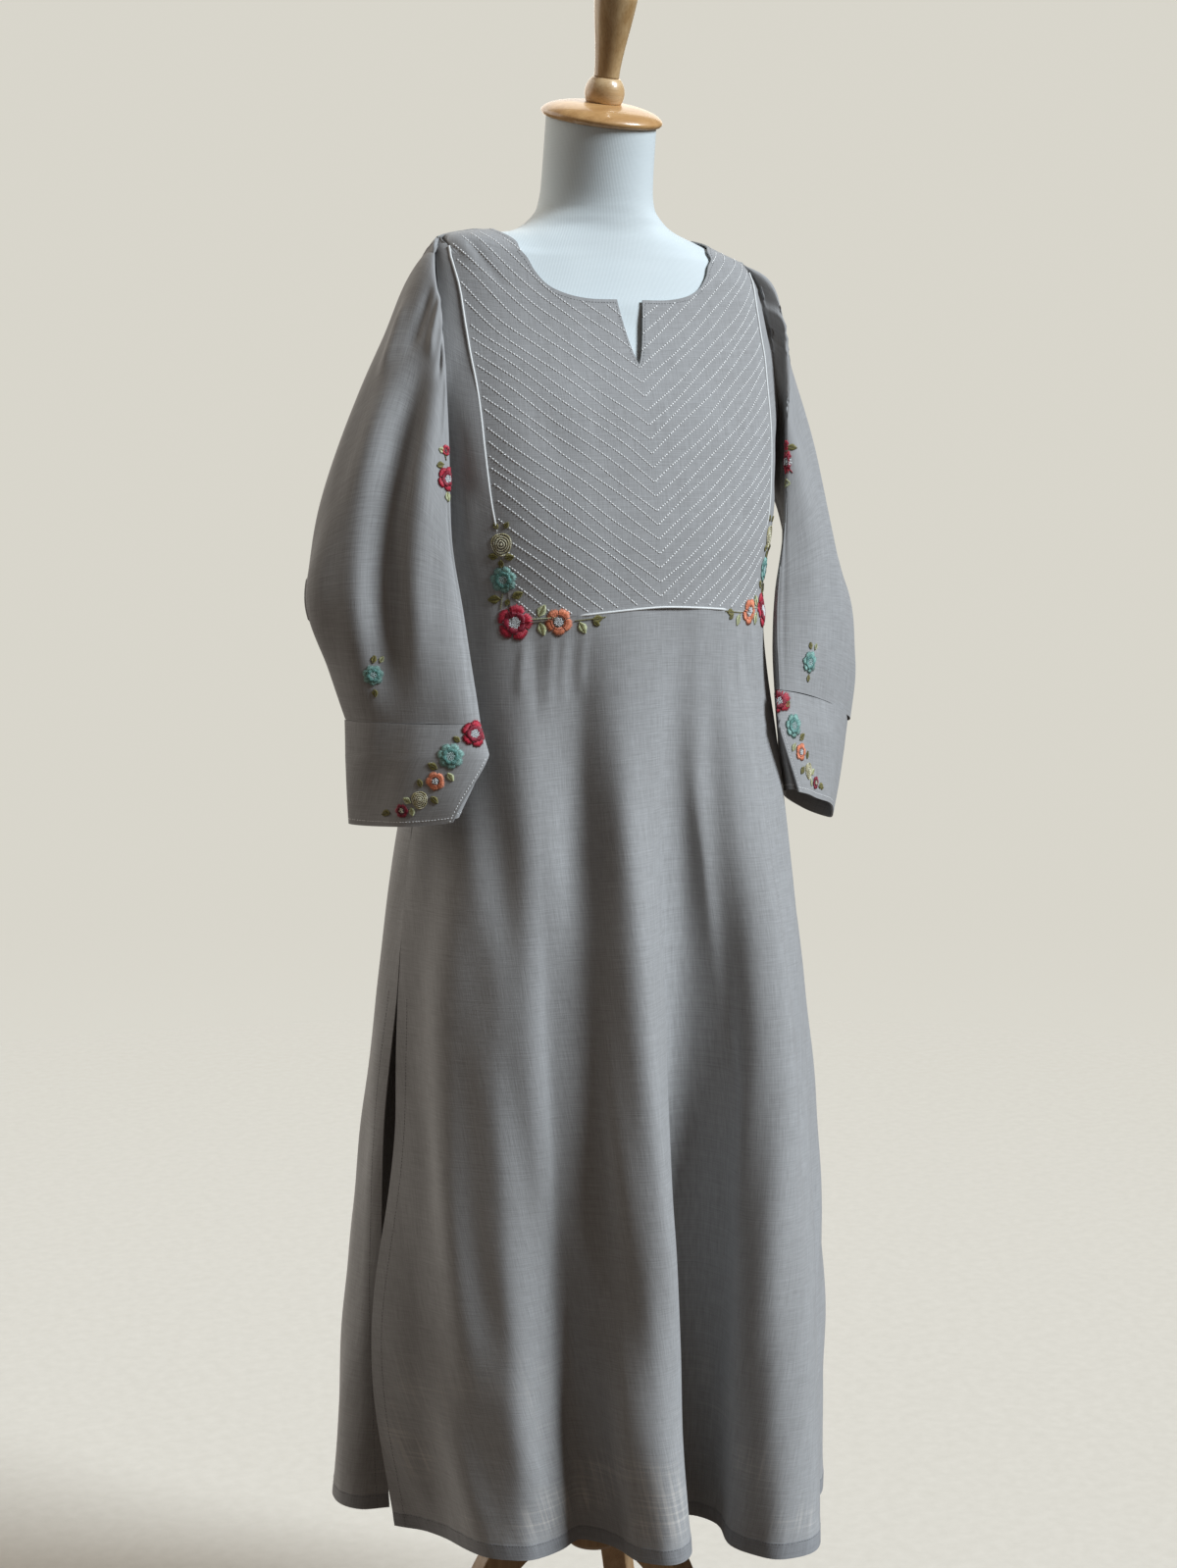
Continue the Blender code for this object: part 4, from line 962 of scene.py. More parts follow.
def make_piping(side, spots):
    """The cord along a seam of the yoke, from (angle, height) spots on the bodice."""
    place, _, _, normal = body_frame(*rounded(spots, 3).T)
    covered = eased((SPRAY_TOP - place[:, 2]) / 0.01) * eased((np.abs(place[:, 0]) - SPRAY_INNER) / 0.01)
    points = settled(place + normal * (PIPING_RADIUS * (0.5 - 1.7 * covered))[:, None])
    line = bpy.data.curves.new(f"piping_{side}_cord", "CURVE")
    line.dimensions = "3D"
    line.bevel_depth = PIPING_RADIUS
    line.bevel_resolution = 3
    line.use_fill_caps = True
    spline = line.splines.new("POLY")
    spline.points.add(len(points) - 1)
    for point, (x, y, z) in zip(spline.points, points):
        point.co = (x, y, z, 1)
    piece = placed(f"piping_{side}_cord", line, PIPING_CORD)
    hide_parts(f"piping_{side}")


PIPING_CORD = make_thread("white_piping_cord", (0.84, 0.85, 0.84))
seam_spots = yoke_seam(SIDE_ROWS + ARMHOLE_ROWS)[::FINER]
seam_spots[0, 1] += 2.5 * PIPING_RADIUS
corner_shares = np.linspace(-CORNER_SHARE, CORNER_SHARE, 27)
corner_heights = yoke_edge_height(corner_shares)
make_piping("left", seam_spots)
make_piping("right", seam_spots * (-1, 1))
make_piping("bottom", np.column_stack([share_angle(corner_shares, corner_heights), corner_heights]))

# ================ the back panel
# One piece of linen from the shoulder seams and the neckline to the hem. It is sewn to the front at
# the sides down to the slits, below which its edges hang free.
BACK_NECK = as_rows(Mark, (
    (0.0, 1.4175), (0.030, 1.4180), (0.060, 1.4205), (0.085, 1.425), (0.099, 1.429),
))
BACK_COLUMNS = 32 * FINER
BACK_CREASES = as_rows(Crease, (
    (-0.020, 1.10, -0.034, 0.66, 0.022, -0.0090, 0.004),
    (-0.052, 1.06, -0.084, 0.56, 0.020, 0.0083, -0.004),
    (-0.088, 1.16, -0.118, 0.84, 0.018, -0.0060, 0.004),
    (-0.128, 1.02, -0.172, 0.50, 0.022, -0.0090, 0.004),
    (-0.168, 0.94, -0.224, 0.42, 0.020, 0.0075, -0.003),
    (0.026, 1.12, 0.034, 0.74, 0.020, 0.0075, -0.004),
    (0.060, 1.04, 0.082, 0.50, 0.022, -0.0097, 0.005),
    (0.098, 1.14, 0.122, 0.80, 0.016, 0.0060, 0.003),
    (0.130, 1.00, 0.176, 0.52, 0.020, 0.0083, -0.004),
    (0.160, 0.92, 0.214, 0.46, 0.020, -0.0075, 0.004),
    (-0.105, 1.370, -0.050, 1.290, 0.012, 0.0022, 0.006),    # drag lines under the neckline
    (0.098, 1.378, 0.052, 1.300, 0.014, -0.0022, -0.005),
    (0.128, 1.285, 0.150, 1.190, 0.010, 0.0024, 0.003),
    (-0.136, 1.280, -0.150, 1.180, 0.010, -0.0024, -0.003),
))


def make_back_grid():
    shares = np.linspace(1, -1, BACK_COLUMNS + 1)
    heights = np.linspace(HEM_HEIGHT, UNDERARM, SKIRT_ROWS + SIDE_ROWS + 1)[:, None]
    lower = hanging(shares[None, :], heights, back=True)
    hole = armhole(BACK_INSET, np.linspace(0, math.pi, ARMHOLE_ROWS + FINER + 1))
    edge = np.vstack([hole, shoulder_seam(SEAM_ROWS + 1)[1:]])
    neck = rounded(np.vstack([on_body(BACK_NECK), [(math.pi / 2, NECK_POINT)]]))
    top = spaced(np.vstack([neck[:0:-1], neck * (-1, 1)]), BACK_COLUMNS, body_back)
    under = np.full(BACK_COLUMNS + 1, UNDERARM)
    bottom = np.column_stack([share_angle(shares, under, back=True), under])
    spots = relaxed(patch(bottom, top, edge, edge * (-1, 1)), 800)
    upper = body_back(spots[..., 0], spots[..., 1])
    points = np.concatenate([lower, upper[1:]])
    points[:, (0, -1), 1] += SIDE_GAP / 2
    return settled(points)


back = make_back_grid()
back_middle = BACK_COLUMNS // 2
back_across, back_up = across_of(back, back_middle), upward_of(back, back_middle)
back = creased(rumpled(back, back_across, 13), back_across, BACK_CREASES)
back = parted(hem_band(back, back_up, back_across), BACK_PARTED)
back_panel = cloth_piece("linen_back_panel", [(back, back_across, back_up)],
                         HEMMED_LINEN, CLOTH, "back_panel")

# ================ the sleeves
# Three-quarter sleeves set into the armholes, which hang empty and flattened, with a fold at the front
# and a crumpled cap.
SLEEVE_CLEARANCE = 0.004
Ring = namedtuple("Ring", "crown front_fold under back_fold")
SLEEVES = {"right": as_rows(Ring, (
    ((0.185, 0.012, 1.384), (0.180, 0.050, 1.300), (0.1845, 0.000, 1.212), (0.200, -0.040, 1.300)),
    ((0.212, 0.030, 1.320), (0.184, 0.061, 1.235), (0.193, 0.004, 1.180), (0.238, -0.032, 1.245)),
    ((0.243, 0.045, 1.225), (0.183, 0.068, 1.165), (0.205, 0.008, 1.135), (0.275, -0.020, 1.170)),
    ((0.245, 0.052, 1.115), (0.172, 0.068, 1.100), (0.215, -0.002, 1.095), (0.294, -0.010, 1.105)),
    ((0.232, 0.055, 1.045), (0.168, 0.074, 1.043), (0.206, 0.004, 1.042), (0.272, -0.008, 1.045)),
    ((0.220, 0.058, 0.999), (0.165, 0.080, 0.999), (0.204, 0.010, 0.999), (0.258, -0.002, 0.999)),
)), "left": as_rows(Ring, (
    ((0.187, 0.012, 1.391), (0.181, 0.049, 1.300), (0.191, 0.000, 1.212), (0.193, -0.040, 1.300)),
    ((0.200, 0.024, 1.322), (0.173, 0.060, 1.235), (0.202, 0.004, 1.180), (0.217, -0.034, 1.240)),
    ((0.224, 0.038, 1.225), (0.167, 0.067, 1.165), (0.212, 0.006, 1.135), (0.254, -0.026, 1.160)),
    ((0.243, 0.046, 1.115), (0.159, 0.069, 1.105), (0.223, -0.002, 1.095), (0.288, -0.014, 1.095)),
    ((0.246, 0.046, 1.045), (0.155, 0.074, 1.060), (0.223, 0.002, 1.042), (0.300, -0.012, 1.025)),
    ((0.238, 0.046, 0.992), (0.155, 0.079, 1.012), (0.221, 0.006, 0.988), (0.294, -0.008, 0.966)),
))}
SLEEVE_SPANS = 16               # rows in each span between two sections
SLEEVE_ROUND = 144              # columns round a sleeve, from its underside
SLEEVE_CREASES = {"right": as_rows(Crease, (
    # across from the front fold, height, the same at the end, width, depth, bend
    (0.086, 1.330, 0.080, 1.010, 0.0160, -0.0150, 0.004),  # the wide valley along the sleeve
    (0.052, 1.310, 0.052, 1.010, 0.0150, 0.0040, 0.002),
    (0.124, 1.270, 0.116, 1.030, 0.0240, -0.0030, -0.004),
    (0.0075, 1.230, 0.0085, 0.985, 0.0024, -0.0011, 0.001),
    (0.030, 1.365, 0.052, 1.300, 0.0070, -0.0035, 0.003),  # the crumpled cap
    (0.062, 1.378, 0.072, 1.318, 0.0065, 0.0035, -0.002),
    (0.090, 1.385, 0.100, 1.322, 0.0060, -0.0035, 0.002),
    (0.116, 1.372, 0.124, 1.300, 0.0080, 0.0035, 0.002),
    (0.020, 1.310, 0.030, 1.240, 0.0060, 0.0018, 0.002),
    (-0.060, 1.250, -0.055, 1.030, 0.0180, -0.0040, 0.003),  # on the underside
    (-0.115, 1.240, -0.110, 1.040, 0.0180, 0.0040, -0.003),
)), "left": as_rows(Crease, (
    (-0.074, 1.300, -0.070, 1.040, 0.0200, -0.0040, 0.004),
    (-0.044, 1.290, -0.040, 1.060, 0.0160, 0.0025, 0.002),
    (-0.0080, 1.220, -0.0085, 1.000, 0.0024, -0.0010, 0.001),
    (-0.020, 1.360, -0.044, 1.306, 0.0065, -0.0025, 0.002),
    (-0.050, 1.378, -0.064, 1.320, 0.0065, 0.0028, -0.002),
    (-0.082, 1.380, -0.092, 1.322, 0.0060, -0.0016, 0.002),
    (-0.112, 1.360, -0.122, 1.290, 0.0080, 0.0012, 0.002),
    (-0.170, 1.250, -0.160, 1.040, 0.0180, 0.0050, 0.004),
    (0.070, 1.240, 0.064, 1.040, 0.0180, -0.0040, -0.004),
))}

# The skirt's outline seen from above, by height and by angle from the front, which the sleeves clear.
REACH_HEIGHTS = np.linspace(HEM_HEIGHT, SHOULDER_TIP, 120)
REACH_ANGLES = np.radians(np.linspace(30, 150, 61))


def reach_round(height):
    reach = np.zeros(len(REACH_ANGLES))
    shares = np.linspace(0.2, 1, 41)
    heights = np.full(len(shares), height)
    for side in (-1, 1):
        points = np.concatenate([hanging(side * shares, heights, back) for back in (False, True)])
        polar = np.arctan2(np.abs(points[:, 0]), -points[:, 1])
        out = np.hypot(points[:, 0], points[:, 1])
        order = np.argsort(polar)
        reach = np.maximum(reach, np.interp(REACH_ANGLES, polar[order], out[order]))
    return reach


REACHES = np.array([reach_round(height) for height in REACH_HEIGHTS])


def clear_of_body(points, margin):
    """Moves points that would lie inside the skirt or bodice out to a margin over it."""
    row = (points[..., 2] - REACH_HEIGHTS[0]) / (REACH_HEIGHTS[1] - REACH_HEIGHTS[0])
    polar = np.arctan2(points[..., 0], -points[..., 1])
    column = (polar - REACH_ANGLES[0]) / (REACH_ANGLES[1] - REACH_ANGLES[0])
    limit = between(REACHES, row, column) + margin
    reach = np.hypot(points[..., 0], points[..., 1])
    out = np.maximum(limit / reach, 1.0)
    return points * np.stack([out, out, np.ones(out.shape)], axis=-1)


def ring_points(ring, angles):
    """A closed section through its four named points, drawn out to soft points at the two folds."""
    crown, front, under, back = (np.array((p[0], -p[1], p[2])) for p in ring)
    middle = (crown + front + under + back) / 4
    rise, width = (crown - under) / 2, (front - back) / 2
    skew = (crown + under - front - back) / 4
    angles = angles[:, None]
    lift = np.sign(np.cos(angles)) * np.abs(np.cos(angles)) ** 1.25
    return middle + rise * lift + width * np.sin(angles) + skew * np.cos(2 * angles)


def armhole_ring(angles):
    """The sleeve's first ring, just outside the armhole's edge: from the underarm up the back and down
    the front."""
    ring = []
    for turn in angles:
        front = turn >= 0
        spot = armhole(FRONT_INSET if front else BACK_INSET, np.array([math.pi - turn]))[0]
        surface = body if front else body_back
        step = 1e-3
        angle, height = spot
        round_it = surface(angle + step, height) - surface(angle - step, height)
        up_it = surface(angle, height + step) - surface(angle, height - step)
        normal = np.cross(round_it, up_it)
        normal *= (1 if front else -1) * 1.5 * SEAM_GAP / np.linalg.norm(normal)
        # At the shoulder's tip it laps a little over the seams that meet there.
        lap = math.exp(-((turn / 0.35) ** 2))
        ring.append(surface(angle, height) + normal + np.array((-0.0030, 0, 0.0020)) * lap)
    return np.array(ring)


def make_sleeve(side):
    turns = np.linspace(-math.pi, math.pi, SLEEVE_ROUND + 1)
    sections = np.array([armhole_ring(turns)] + [ring_points(ring, turns) for ring in SLEEVES[side]])
    points = rounded(sections, SLEEVE_SPANS)
    points[1:] = clear_of_body(points[1:], SLEEVE_CLEARANCE)
    if side == "right":
        points = mirrored(points)
    points = settled(points)
    fold = SLEEVE_ROUND * 3 // 4 if side == "left" else SLEEVE_ROUND // 4
    across, up = across_of(points, fold), upward_of(points, fold)
    from_seam = np.minimum(np.arange(SLEEVE_ROUND + 1), np.arange(SLEEVE_ROUND, -1, -1))
    points = rumpled(points, across, 21 if side == "left" else 22, fade=eased(from_seam / 10))
    points = creased(points, across, SLEEVE_CREASES[side])
    points[:, -1] = points[:, 0]
    return points, across, up[-1:, :] - up


sleeve_grids = {side: make_sleeve(side) for side in ("right", "left")}
sleeves = {side: cloth_piece(f"linen_sleeve_{side}", [grid], LINEN, CLOTH, f"sleeve_{side}")
           for side, grid in sleeve_grids.items()}

# ================ the cuffs
# Doubled linen, shaped as a petal: the two ends cross at the front fold, and the outer one is cut away
# in a curve from a notch below the seam.
CUFFS = {"right": as_rows(Ring, (
    ((0.220, 0.058, 0.9987), (0.165, 0.080, 0.9987), (0.204, 0.010, 0.9987), (0.258, -0.002, 0.9987)),
    ((0.215, 0.058, 0.955), (0.167, 0.083, 0.957), (0.204, 0.012, 0.957), (0.254, -0.002, 0.953)),
    ((0.214, 0.057, 0.908), (0.186, 0.080, 0.917), (0.206, 0.012, 0.912), (0.251, -0.002, 0.904)),
)), "left": as_rows(Ring, (
    ((0.238, 0.046, 0.9914), (0.155, 0.079, 1.0114), (0.221, 0.006, 0.9874), (0.294, -0.008, 0.9654)),
    ((0.231, 0.047, 0.944), (0.158, 0.082, 0.964), (0.219, 0.009, 0.942), (0.286, -0.008, 0.918)),
    ((0.227, 0.048, 0.897), (0.171, 0.080, 0.916), (0.217, 0.010, 0.893), (0.277, -0.008, 0.869)),
))}
CUFF_CLOTH = 0.0018
PETAL_TOP = 0.33
PETAL_CUTS = {"right": math.radians(54), "left": math.radians(30)}     # how far round each is cut away
CUFF_INNER_END, CUFF_INNER_SHIFT = 62, 46      # degrees round at the seam, and how much less at the hem
CUFF_OUTER_END = 360 + 88
CUFF_LAP, CUFF_STAND_OFF = 0.0022, 0.0072      # the outer end's gap at the seam, and its gain to the notch
CUFF_SPANS, CUFF_COLUMNS = 20, 150


def make_cuff(side):
    flat = np.array(CUFFS[side]).reshape(len(CUFFS[side]), -1)
    rings = rounded(flat, CUFF_SPANS).reshape(-1, 4, 3)
    grid = []
    for ring, fall in zip(rings, np.linspace(0, 1, len(rings))):
        start = math.radians(CUFF_INNER_END - CUFF_INNER_SHIFT * fall)
        cut = PETAL_CUTS[side] * max((fall - PETAL_TOP) / (1 - PETAL_TOP), 0) ** 0.5
        end = math.radians(CUFF_OUTER_END) - cut
        row = ring_points(ring, np.linspace(start, end, CUFF_COLUMNS + 1))
        # The outer end lies over the inner one by a wall and a gap, and stands off below the notch.
        lift = CUFF_LAP + CUFF_STAND_OFF * min(fall / PETAL_TOP, 1)
        offset = (row - row.mean(axis=0)) * (1, 1, 0)
        offset /= np.linalg.norm(offset, axis=1, keepdims=True)
        spread = lift * np.linspace(0, 1, CUFF_COLUMNS + 1) ** 2
        grid.append(clear_of_body(row + offset * spread[:, None], SLEEVE_CLEARANCE + spread))
    points = np.array(grid)[::-1, ::-1]
    if side == "right":
        points = mirrored(points)
    middle = CUFF_COLUMNS // 2
    across, up = across_of(points, middle), upward_of(points, middle)
    points = rumpled(points, across, 31 if side == "left" else 32, amount=0.0004)
    return points, across, up


cuff_grids = {side: make_cuff(side) for side in ("right", "left")}
cuffs = {side: cloth_piece(f"linen_cuff_{side}", [grid], LINEN, CUFF_CLOTH, f"cuff_{side}")
         for side, grid in cuff_grids.items()}

# ================ the hems' stitching
# Fine grey running stitches hold the turned hems, the slits' edges and the neckline. White ones follow
# the cuffs' hems and the petals' edges.
GREY_THREAD = make_thread("grey_cotton_thread", (0.15, 0.15, 0.155))
# How far in from its edge each line of stitching runs.
HEM_DEPTH, SLIT_DEPTH, NECK_DEPTH, CUFF_DEPTH, PETAL_DEPTH = 0.0135, 0.0120, 0.0035, 0.0050, 0.0030


def edge_line(points, edge, inwards):
    """The line that runs this far in from an edge of a grid of points, and the normals along it."""
    turned = {
        "first column": lambda grid: grid,
        "last column": lambda grid: grid[:, ::-1],
        "first row": lambda grid: grid.transpose(1, 0, 2),
        "last row": lambda grid: grid[::-1].transpose(1, 0, 2),
    }[edge]
    grids = turned(points), turned(normals_of(points))
    run = np.array([run_along(row) for row in grids[0]])
    line = np.array([[np.interp(inwards, run[row], grid[row, :, k]) for grid in grids for k in range(3)]
                     for row in range(len(run))])
    return line[:, :3], line[:, 3:]


def topstitched(name, lines, seed, thread, length=0.0021, width=0.0006):
    random = np.random.RandomState(seed)
    made = [running_stitches(*line, STITCH_PITCH, length, width, random) for line in lines]
    return joined_beads(name, *(np.concatenate(part) for part in zip(*made)), thread)


slit_rows = int((skirt[:, 0, 2] < SLIT_TOP - 0.01).sum())
hem_stitches = {name: topstitched(f"hem_stitches_{name}", [
    edge_line(grid, "first row", HEM_DEPTH),
    edge_line(grid[:slit_rows], "first column", SLIT_DEPTH),
    edge_line(grid[:slit_rows], "last column", SLIT_DEPTH),
], 61, GREY_THREAD) for name, grid in (("front", skirt), ("back", back))}
neck_stitches = {side: topstitched(f"neck_stitches_{side}", [edge_line(grid, "last row", NECK_DEPTH)], 62,
                                   GREY_THREAD) for side, grid in yoke_grids.items()}
petal_rows = int(len(cuff_grids["left"][0]) * (1 - PETAL_TOP))
cuff_stitches = {side: topstitched(f"cuff_stitches_{side}", [
    edge_line(grid[0], "first row", CUFF_DEPTH),
    edge_line(grid[0][:petal_rows], "first column" if side == "left" else "last column", PETAL_DEPTH),
], 63, WHITE_THREAD, length=0.0026, width=0.0007) for side, grid in cuff_grids.items()}

# ================ the embroidery
# Flowers, leaves and stems worked in stranded cotton: radial satin stitches for petals, wound stitches
# for roses, slanting ones for leaves and French knots in white for the flowers' middles.
RED, CRIMSON, WINE = (0.56, 0.022, 0.055), (0.27, 0.008, 0.030), (0.13, 0.006, 0.018)
TEAL, DEEP_TEAL, PALE_TEAL = (0.27, 0.49, 0.44), (0.13, 0.31, 0.28), (0.50, 0.68, 0.66)
ORANGE, RUST = (0.80, 0.27, 0.14), (0.58, 0.15, 0.075)
CREAM, STRAW = (0.72, 0.68, 0.50), (0.47, 0.42, 0.22)
OLIVE, MOSS, MINT = (0.215, 0.190, 0.050), (0.12, 0.105, 0.030), (0.58, 0.61, 0.36)
KNOT_WHITE = (0.84, 0.87, 0.88)
THREAD_WIDTH = 0.0009
LONGEST_STITCH = 0.03           # one that would be longer has an end off the cloth, and is left out
GOLDEN_ANGLE = 2.39996          # each knot's turn from the one before it
# Where a flower's outer and inner rings of petals begin and end, as shares of its size.
PETAL_RINGS = ((0.34, 1.0), (0.26, 0.66))
PETAL_HALF = 0.88               # how far its stitches fill each half of a petal
OUTLINE_REACH, OUTLINE_STEP, OUTLINE_STITCH = 0.50, 0.0016, 0.0019
KNOT_REACH, KNOT_SIZE, KNOT_LIFT = 0.30, 0.0011, 0.0013
ROSE_RINGS, ROSE_HEIGHT = 5, 1.12       # its turns, and its height as a share of its width
LEAF_STEP, LEAF_HALF_WIDTH = 0.00085, 0.34
STEM_STEP, STEM_STITCH = 0.0019, 0.0026

# A place is the motif's distance across and up the cloth that carries it, its size is a radius or a
# leaf's length, and its turn is in degrees from the right of someone who faces it.
Motif = namedtuple("Motif", "kind across up size turn")
# Its number of petals, the colours of its outer and inner ring and of its middle, and its rings.
Flower = namedtuple("Flower", "petals outer inner middle rings")
FLOWERS = {
    "red flower": Flower(5, RED, CRIMSON, KNOT_WHITE, 2),
    "teal flower": Flower(7, TEAL, DEEP_TEAL, PALE_TEAL, 2),
    "orange flower": Flower(5, ORANGE, RUST, KNOT_WHITE, 1),
    "small red flower": Flower(6, CRIMSON, WINE, CREAM, 1),
    "red bud": Flower(4, RED, CRIMSON, RED, 1),
}
LEAVES = {"olive leaf": (OLIVE, MOSS), "mint leaf": (MINT, OLIVE)}


def polar(reach, angle):
    return reach * math.cos(angle), reach * math.sin(angle)


def uneven(colour, random, low, high):
    """The colour a little darker or lighter, as cotton takes its dye."""
    return np.array(colour) * random.uniform(low, high)


def flower_stitches(motif, random):
    """Each stitch as its start and end on the flat, its width, its height over the cloth and its colour."""
    flower, size = FLOWERS[motif.kind], motif.size
    stitches = []
    for ring in range(flower.rings):
        inner, outer = PETAL_RINGS[ring]
        half = math.pi / flower.petals
        count = max(int(2 * half * size * outer * 0.8 / THREAD_WIDTH), 5)
        for petal in range(flower.petals):
            middle = math.radians(motif.turn) + 2 * half * (petal + 0.5 * ring)
            for aside in np.linspace(-PETAL_HALF, PETAL_HALF, count):
                lobe = math.cos(aside * math.pi / 2) ** 0.5
                reach = size * outer * (0.74 + 0.26 * lobe) * random.uniform(0.95, 1.03)
                angle = middle + aside * half
                start_angle = middle + aside * half * 0.8
                base = size * inner * random.uniform(0.95, 1.1)
                colour = flower.outer if ring == 0 else flower.inner
                if flower.rings == 1 or ring == 1:
                    colour = uneven(colour, random, 0.85, 1.2)
                else:
                    colour = uneven(colour, random, 0.75, 1.15) * (0.70 + 0.30 * lobe)
                stitches.append((polar(base, start_angle), polar(reach, angle), THREAD_WIDTH * 1.3,
                                 0.0004 + 0.0007 * ring + 0.0003 * lobe, colour))
        # A dark outline thread between the petals and the ring inside them.
        if ring == 0:
            around = size * OUTLINE_REACH
            count = int(size * 0.52 * 2 * math.pi / OUTLINE_STEP)
            for angle in np.linspace(0, 2 * math.pi, count, endpoint=False):
                stitches.append((polar(around, angle), polar(around, angle + OUTLINE_STITCH / around),
                                 THREAD_WIDTH, 0.0011, np.array(flower.inner) * 0.8))
    knots = max(int((size * 0.33 / 0.00058) ** 2 / 2.0), 4)
    for number in range(knots):
        x, y = polar(size * KNOT_REACH * math.sqrt((number + 0.4) / knots), number * GOLDEN_ANGLE)
        dx, dy = polar(KNOT_SIZE / 2, random.uniform(0, 2 * math.pi))
        stitches.append(((x - dx, y - dy), (x + dx, y + dy), KNOT_SIZE, KNOT_LIFT,
                         uneven(flower.middle, random, 0.86, 1.04)))
    return stitches


def rose_stitches(motif, random):
    """A rose of stitches wound round and round, paler and higher towards its middle."""
    stitches, size = [], motif.size
    for ring in range(ROSE_RINGS):
        around = size * (0.92 - 0.2 * ring)
        step = 0.9 * THREAD_WIDTH * 3.6 / max(around, 0.0016)
        share = ring / (ROSE_RINGS - 1)
        for angle in np.arange(0, 2 * math.pi, step * 0.62):
            angle += 0.7 * ring
            paler = 1 if (ring + int(angle * 2)) % 3 == 0 else share
            colour = np.array(STRAW) * (1 - paler) + np.array(CREAM) * paler
            swing = 1 + 0.08 * math.sin(3 * angle + ring)
            start, end = polar(around * swing, angle), polar(around * 0.94, angle + step)
            stitches.append(((start[0], start[1] * ROSE_HEIGHT), (end[0], end[1] * ROSE_HEIGHT),
                             THREAD_WIDTH * 1.35, 0.0005 + 0.0011 * share,
                             uneven(colour, random, 0.85, 1.1)))
    return stitches


def leaf_stitches(motif, random):
    """A leaf of stitches that slant forwards from its midrib to its edges."""
    fill, rib = LEAVES[motif.kind]
    length, turn = motif.size, math.radians(motif.turn)
    along = np.array((math.cos(turn), math.sin(turn)))
    beside = np.array((-along[1], along[0]))
    stitches = []
    count = max(int(length / LEAF_STEP), 5)
    for share in (np.arange(count) + 0.5) / count:
        half = LEAF_HALF_WIDTH * length * math.sin(math.pi * share**0.75) + 0.0004
        for side in (-1, 1):
            start = along * (share * length - 0.1 * length)
            end = start + along * 0.22 * length * (1 - share * 0.6) + beside * side * half
            stitches.append((tuple(start), tuple(end), THREAD_WIDTH * 1.15, 0.0005,
                             uneven(fill, random, 0.75, 1.25)))
        stitches.append((tuple(along * length * (share - 0.15)), tuple(along * length * (share + 0.02)),
                         THREAD_WIDTH * 0.8, 0.0009, np.array(rib)))
    return stitches


def stem_stitches(motif, random):
    """A stem, in stem stitch."""
    turn = math.radians(motif.turn)
    along = np.array((math.cos(turn), math.sin(turn)))
    colour = {"olive stem": OLIVE, "mint stem": MINT}[motif.kind]
    return [(tuple(along * at), tuple(along * (at + STEM_STITCH)), THREAD_WIDTH, 0.0006,
             uneven(colour, random, 0.85, 1.1)) for at in np.arange(0, motif.size, STEM_STEP)]


def placed_stitches(motif, random):
    if motif.kind in FLOWERS:
        return flower_stitches(motif, random)
    if motif.kind in LEAVES:
        return leaf_stitches(motif, random)
    return rose_stitches(motif, random) if motif.kind == "rose" else stem_stitches(motif, random)


def make_threads():
    """Stranded cotton with a soft sheen, in the colour that each stitch carries."""
    finish = Finish("stranded_cotton", 0.5, Sheen_Weight=0.35, Sheen_Roughness=0.35)
    colour = finish.node("Attribute")
    colour.attribute_name = "Thread"
    place = finish.place()
    strands = finish.noise(place, (1500, 1500, 1500), 2.0)
    shade = finish.ramp(strands, ((0.3, 0.80), (0.65, 1.06)))
    finish.coloured(finish.tinted("MULTIPLY", 1.0, colour.outputs["Color"], shade))
    finish.bumped(strands, 0.35, 0.0004)
    return finish.material


STRANDED_COTTON = make_threads()


def embroidered(name, motifs, place_of, tree, seed):
    """One piece of all the motifs on one part of the garment, worked on the cloth itself."""
    random = np.random.RandomState(seed)
    middles, axes, colours = [], [], []
    for motif in motifs:
        middle, normal = tree.find_nearest(Vector(place_of(motif)))[:2]
        up = (Vector((0, 0, 1)) - normal * normal.z).normalized()
        right = up.cross(normal)
        for start, end, width, lift, colour in placed_stitches(motif, random):
            ends = []
            for u, v in (start, end):
                place, facing = cloth_under(tree, middle + right * u + up * v, normal, 0.006, 0.02)
                ends.append(place + facing * lift)
            along = ends[1] - ends[0]
            if along.length > LONGEST_STITCH:
                continue
            along = along + along.normalized() * width * 0.6
            across = facing.cross(along).normalized()
            middles.append((ends[0] + ends[1]) / 2)
            axes.append((along, across * width, facing * width))
            colours.append(np.clip(colour, 0, 1))
    return joined_beads(name, np.array(middles, float), np.array(axes, float), STRANDED_COTTON,
                        np.array(colours))


def other_side(motifs):
    return tuple(motif._replace(across=-motif.across, turn=180 - motif.turn) for motif in motifs)


